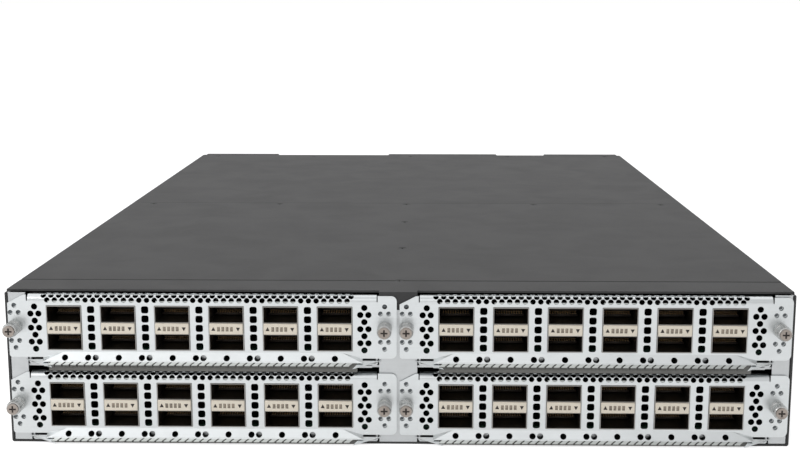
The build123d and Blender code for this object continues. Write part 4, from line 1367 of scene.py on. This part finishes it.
        def build(work):
            skins = [
                [[work.verts.new(point(i, j, skin)) for j in range(across + 1)] for i in range(radial + 1)]
                for skin in (-1, 1)
            ]
            under, over = skins
            for grid in skins:
                for i in range(radial):
                    for j in range(across):
                        work.faces.new((grid[i][j], grid[i + 1][j], grid[i + 1][j + 1], grid[i][j + 1]))
            for i in range(radial):
                for j in (0, across):
                    work.faces.new((under[i][j], under[i + 1][j], over[i + 1][j], over[i][j]))
            for j in range(across):
                for i in (0, radial):
                    work.faces.new((under[i][j], under[i][j + 1], over[i][j + 1], over[i][j]))
            bmesh.ops.recalc_face_normals(work, faces=work.faces)

        return mesh_of("blade", build)


class SWITCH_OT_supplies(bpy.types.Operator):
    """Makes the power supplies with their inlets, vents, guards, straps and latch levers"""

    bl_idname = "switch.supplies"
    bl_label = "Power supplies"

    def execute(self, context):
        for slot in SLOTS:
            node, latch = f"psu_case_{slot}", f"psu_latch_{slot}"
            middle = middle_of(node)
            self.case(slot, node, middle)
            self.fittings(slot, node, middle)
            placed(f"latch_lever_{slot}", softened(latch, 0.0004, "lever_moulding"), latch)
        return {"FINISHED"}

    def case(self, slot, node, middle):
        """The case with its vents; the recesses and the strap are black mouldings, the vent floors are black
        as painted shade for the dark inside, the rest is plated.
        """
        r = rear_sizes()
        drill = turned([(r.vent_radius, -0.003), (r.vent_radius, 0.001)], 10)
        pile = Pile()
        for way in (-1, 1):
            for row in range(2):
                z = middle.z + way * (r.inlet_height / 2 + 0.0046 + row * r.vent_pitch * 0.87)
                for i in range(SUPPLY_VENTS - row):
                    x = middle.x + r.inlet_place + (i - SUPPLY_VENTS // 2 + row / 2) * r.vent_pitch
                    pile.add(drill, "black_moulding", facing_rear(x, REAR_Y, z))
        mesh = softened(node, sizes().soft_edge, "rear_plating", pile.mesh("drills"))
        mesh.materials.append(finish("black_moulding"))
        # Painted shade: the floors and walls of the drilled vents turn black, standing for the dark inside of
        # the case; the inlet and fan recesses and the strap are black mouldings
        for polygon in mesh.polygons:
            y = polygon.center.y
            polygon.material_index = int(y > REAR_Y + 0.0004 or REAR_Y - 0.019 < y < REAR_Y - 0.0003)
        placed(f"power_supply_{slot}", mesh, node)

    def inlet_outline(self, grow):
        r = rear_sizes()
        half, up, cut = r.inlet_width / 2 + grow, r.inlet_height / 2 + grow, r.inlet_cut + grow * 0.4
        return [
            (-half, -up), (half, -up), (half, up - cut), (half - cut, up), (cut - half, up), (-half, up - cut)
        ]

    def fittings(self, slot, node, middle):
        """The inlet's rim and blades, the fan's guard and the lamp."""
        r = rear_sizes()
        x, fan_x, z = middle.x + r.inlet_place, middle.x - r.supply_fan, middle.z
        rim_y = REAR_Y - 0.0001
        rim = sheet([self.inlet_outline(0.0014), self.inlet_outline(-0.0004)], 0.0009, "black_moulding")
        pile = Pile().add(rim, "black_moulding", facing_rear(x, rim_y, z))
        for dx, dz in INLET_BLADES:
            low = (x + dx - 0.001, REAR_Y - r.inlet_depth - 0.0002, z + dz - 0.002)
            high = (x + dx + 0.001, REAR_Y - 0.0035, z + dz + 0.002)
            pile.add(block(low, high, 0.0004), "wire_metal")
        loops = [circle(r.supply_bore + 0.0022), circle(r.supply_bore - 0.0002)]
        pile.add(sheet(loops, 0.0005, "rear_plating"), "rear_plating", facing_rear(fan_x, rim_y, z))
        place = facing_rear(fan_x, REAR_Y + 0.0002, z)
        for share in GUARD_SHARES:
            pile.add(hoop(r.supply_bore * share, SUPPLY_WIRE), "wire_metal", place)
        reach = r.supply_bore + 0.0004
        rod = turned([(SUPPLY_WIRE, -reach), (SUPPLY_WIRE, reach)], 8)
        for angle in (45, 135):
            lie = Matrix.Rotation(radians(angle), 4, "Z") @ Matrix.Rotation(pi / 2, 4, "X")
            pile.add(rod, "wire_metal", place @ lie)
        pile.add(lamp(0.0013), "lamp_lens", facing_rear(middle.x - 0.031, REAR_Y, z + 0.0155))
        pile.piece(f"supply_fittings_{slot}", node, replaces=False)


class SWITCH_OT_management(bpy.types.Operator):
    """Makes the management panel with its jacks"""

    bl_idname = "switch.management"
    bl_label = "Management panel"

    def execute(self, context):
        r = rear_sizes()
        node = "management_panel"
        x = middle_of(node).x
        heights = [r.jack_middle + i * r.jack_pitch for i in (-1, 0, 1)]
        self.face(node, x, heights)
        self.jacks(node, x, heights)
        return {"FINISHED"}

    def face(self, node, x, heights):
        """The panel, plated, with the insides of its jacks in black."""
        r = rear_sizes()
        mesh = softened(node, sizes().soft_edge, "rear_plating")
        mesh.materials.append(finish("black_moulding"))
        for polygon in mesh.polygons:
            c = polygon.center
            near = any(abs(c.z - z) < r.jack_height / 2 + 0.0002 for z in heights)
            deep = REAR_Y - r.jack_depth - 0.0004 < c.y < REAR_Y - 0.0003
            if near and deep and abs(c.x - x) < r.jack_width / 2 + 0.0002:
                polygon.material_index = 1
        placed("management_face", mesh, node)

    def jacks(self, node, x, heights):
        """The shield, the contacts and the two lamps of each jack."""
        r = rear_sizes()
        half, up = r.jack_width / 2, r.jack_height / 2
        side, shoulder, notch = half - 0.0008, up - 0.0028, 0.0031
        hole = [
            (-side, -up + 0.0008), (side, -up + 0.0008), (side, shoulder), (notch, shoulder),
            (notch, up - 0.0008), (-notch, up - 0.0008), (-notch, shoulder), (-side, shoulder),
        ]
        rim = rectangle(-half - JACK_RIM, -up - JACK_RIM, half + JACK_RIM, up + JACK_RIM)
        shield = sheet([rim, hole], 0.0005, "wire_metal")
        back = REAR_Y - r.jack_depth
        path = [
            (back + 0.0004, -up + 0.0012), (REAR_Y - 0.003, -up + 0.0016),
            (REAR_Y - 0.0042, -up + 0.003), (back + 0.001, -up + 0.0055),
        ]
        wire = ribbon(path, -0.00022, 0.00022, 0.0003)
        first = x - (JACK_WIRES - 1) / 2 * JACK_WIRE_PITCH
        pile = Pile()
        for z in heights:
            pile.add(shield, "wire_metal", facing_rear(x, REAR_Y - 0.0001, z))
            pile.row(wire, "contact_metal", JACK_WIRES, JACK_WIRE_PITCH, (first, 0, z))
            for way in (-1, 1):
                lamp_x = x + way * JACK_LAMP
                low = (lamp_x - 0.0011, REAR_Y + 0.0002, z + up - 0.0023)
                high = (lamp_x + 0.0011, REAR_Y + 0.0007, z + up - 0.0011)
                pile.add(block(low, high, 0.0002), "lamp_lens")
        pile.piece("service_jacks", node, replaces=False)


class SWITCH_OT_boards(bpy.types.Operator):
    """Adds the packages and capacitors on the module boards"""

    bl_idname = "switch.boards"
    bl_label = "Module boards"

    def execute(self, context):
        board = 0.0016
        package = block((-0.007, -0.007, 0.0), (0.007, 0.007, 0.0016), 0.0003)
        small = block((-0.0008, -0.0005, 0.0), (0.0008, 0.0005, 0.0009), 0.0001)
        can = turned([(0.0031, 0.0), (0.0031, 0.0052), (0.0028, 0.0056)], 16)
        # What a row holds, its finish, how many, how far apart, and its share of the board's depth
        rows = (
            (package, "package_black", 6, 0.0303, 0.45),
            (small, "capacitor_tan", 40, 0.0042, 0.34),
            (small, "capacitor_tan", 40, 0.0042, 0.36),
            (can, "wire_metal", 12, 0.0145, 0.82),
        )
        for slot in SLOTS:
            node = f"module_board_{slot}"
            low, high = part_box(node)
            x = slot_place(slot)[0]
            pile = Pile()
            for mesh, coat, count, pitch, share in rows:
                start = (x - (count - 1) * pitch / 2, low.y + (high.y - low.y) * share, low.z + board)
                pile.row(mesh, coat, count, pitch, start)
            pile.piece(f"board_parts_{slot}", node, replaces=False)
        return {"FINISHED"}


class SWITCH_OT_finishes(bpy.types.Operator):
    """Gives every CAD node that stays its finish"""

    bl_idname = "switch.finishes"
    bl_label = "Finishes"

    def execute(self, context):
        for name, node in NODES.items():
            node.data.materials.clear()
            node.data.materials.append(finish(NODE_FINISH[SLOT_OF[name]]))
        return {"FINISHED"}


# Stage

WHITE = (1.0, 1.0, 1.0, 1.0)
PALE = (0.88, 0.88, 0.88, 1.0)
FLOOR_GLOW, FLOOR_MIRRORED = 0.68, 0.27
KEY_PLACE, KEY_TARGET, KEY_SIZE = (-1.0, -0.95, 0.8), (-0.1, -0.2, 0.05), (1.0, 0.9)
FILL_PLACE, FILL_TARGET, FILL_SIZE = (-0.1, -1.9, 1.1), (0.0, 0.0, 0.05), (1.2, 1.2)
CAMERA_PLACE = (0.0143, -1.0297, 0.2455)
CAMERA_TILT, CAMERA_TURN = radians(90 - 10.1), radians(1.09)


def floor_material():
    """A pale ground that takes shadows and adds a little light of its own where it is seen or mirrored."""
    material, tree, shader = new_material("pale_floor")
    rays = step(tree, "ShaderNodeLightPath")
    seen = worked(tree, "MAXIMUM", rays["Is Camera Ray"], rays["Is Transmission Ray"])
    glow = worked(tree, "MULTIPLY", seen, FLOOR_GLOW)
    feed(tree, shader, {
        "Base Color": PALE,
        "Roughness": 0.9,
        "Specular IOR Level": 0.1,
        "Emission Color": WHITE,
        "Emission Strength": worked(tree, "MULTIPLY_ADD", rays["Is Glossy Ray"], FLOOR_MIRRORED, glow),
    })
    return material


def room_light(strength):
    """An even room: white where the camera sees it, white behind for mirrored rays and softer in front."""
    world = bpy.data.worlds.new("studio")
    bpy.context.scene.world = world
    world.use_nodes = True
    tree = world.node_tree
    rays = step(tree, "ShaderNodeLightPath")
    y = step(tree, "ShaderNodeSeparateXYZ", {0: step(tree, "ShaderNodeTexCoord")["Generated"]})["Y"]
    behind = worked(tree, "MULTIPLY", ramp(tree, y, -0.55, 0.15), rays["Is Glossy Ray"])
    seen = worked(tree, "MAXIMUM", rays["Is Camera Ray"], rays["Is Transmission Ray"])
    white = worked(tree, "MAXIMUM", seen, behind)
    glow = worked(tree, "MULTIPLY_ADD", white, 1.0 - strength, strength)
    feed(tree, tree.nodes["Background"], {"Color": WHITE, "Strength": glow})


def soft_lamp(name, place, target, size, power):
    """A large soft lamp turned to a target."""
    light = bpy.data.lights.new(name, "AREA")
    light.shape = "RECTANGLE"
    light.size, light.size_y = size
    light.energy = power
    thing = linked(name, light)
    thing.location = place
    thing.rotation_euler = (Vector(target) - Vector(place)).to_track_quat("-Z", "Y").to_euler()


class SWITCH_OT_stage(bpy.types.Operator):
    """Sets up the floor, the soft light and the camera"""

    bl_idname = "switch.stage"
    bl_label = "Stage"

    def execute(self, context):
        scene = context.scene
        stage = scene.stage_sizes
        half = stage.floor_size / 2
        floor = bpy.data.meshes.new("floor")
        floor.from_pydata([(x, y, 0) for x, y in rectangle(-half, -half, half, half)], [], [(0, 1, 2, 3)])
        floor.materials.append(floor_material())
        linked("floor", floor)
        room_light(stage.world_light)
        soft_lamp("key", KEY_PLACE, KEY_TARGET, KEY_SIZE, stage.key_power)
        soft_lamp("fill", FILL_PLACE, FILL_TARGET, FILL_SIZE, stage.fill_power)
        camera = bpy.data.cameras.new("camera")
        camera.lens = stage.lens
        camera.sensor_width = 36.0
        camera.sensor_fit = "HORIZONTAL"
        camera.clip_start = 0.01
        scene.camera = linked("camera", camera)
        scene.camera.location = CAMERA_PLACE
        scene.camera.rotation_euler = Euler((CAMERA_TILT, 0.0, CAMERA_TURN), "XYZ")
        scene.view_settings.view_transform = "Standard"
        return {"FINISHED"}


SETTINGS = {
    "plate_sizes": PlateSizes,
    "piece_sizes": PieceSizes,
    "rear_sizes": RearSizes,
    "finish_colours": FinishColours,
    "stage_sizes": StageSizes,
}
OPERATORS = (
    SWITCH_OT_finishes,
    SWITCH_OT_housing,
    SWITCH_OT_faceplates,
    SWITCH_OT_ports,
    SWITCH_OT_gaskets,
    SWITCH_OT_screws,
    SWITCH_OT_fans,
    SWITCH_OT_supplies,
    SWITCH_OT_management,
    SWITCH_OT_boards,
    SWITCH_OT_stage,
)


class SWITCH_PT_panel(bpy.types.Panel):
    """Lists the steps that dress the switch"""

    bl_idname = "SWITCH_PT_panel"
    bl_label = "Chassis switch"
    bl_space_type = "VIEW_3D"
    bl_region_type = "UI"
    bl_category = "Switch"

    def draw(self, context):
        for operator in OPERATORS:
            self.layout.operator(operator.bl_idname)
        for group in SETTINGS:
            box = self.layout.box()
            settings = getattr(context.scene, group)
            for name in settings.__annotations__:
                box.prop(settings, name)


CLASSES = (*SETTINGS.values(), *OPERATORS, SWITCH_PT_panel)


def register():
    for cls in CLASSES:
        bpy.utils.register_class(cls)
    for name, group in SETTINGS.items():
        setattr(bpy.types.Scene, name, PointerProperty(type=group))


def unregister():
    for name in SETTINGS:
        delattr(bpy.types.Scene, name)
    for cls in reversed(CLASSES):
        bpy.utils.unregister_class(cls)


def main():
    register()
    bpy.ops.switch.stage()
    bpy.ops.switch.finishes()
    bpy.ops.switch.housing()
    bpy.ops.switch.faceplates()
    bpy.ops.switch.ports()
    bpy.ops.switch.gaskets()
    bpy.ops.switch.screws()
    bpy.ops.switch.fans()
    bpy.ops.switch.supplies()
    bpy.ops.switch.management()
    bpy.ops.switch.boards()


if __name__ == "__main__":
    main()
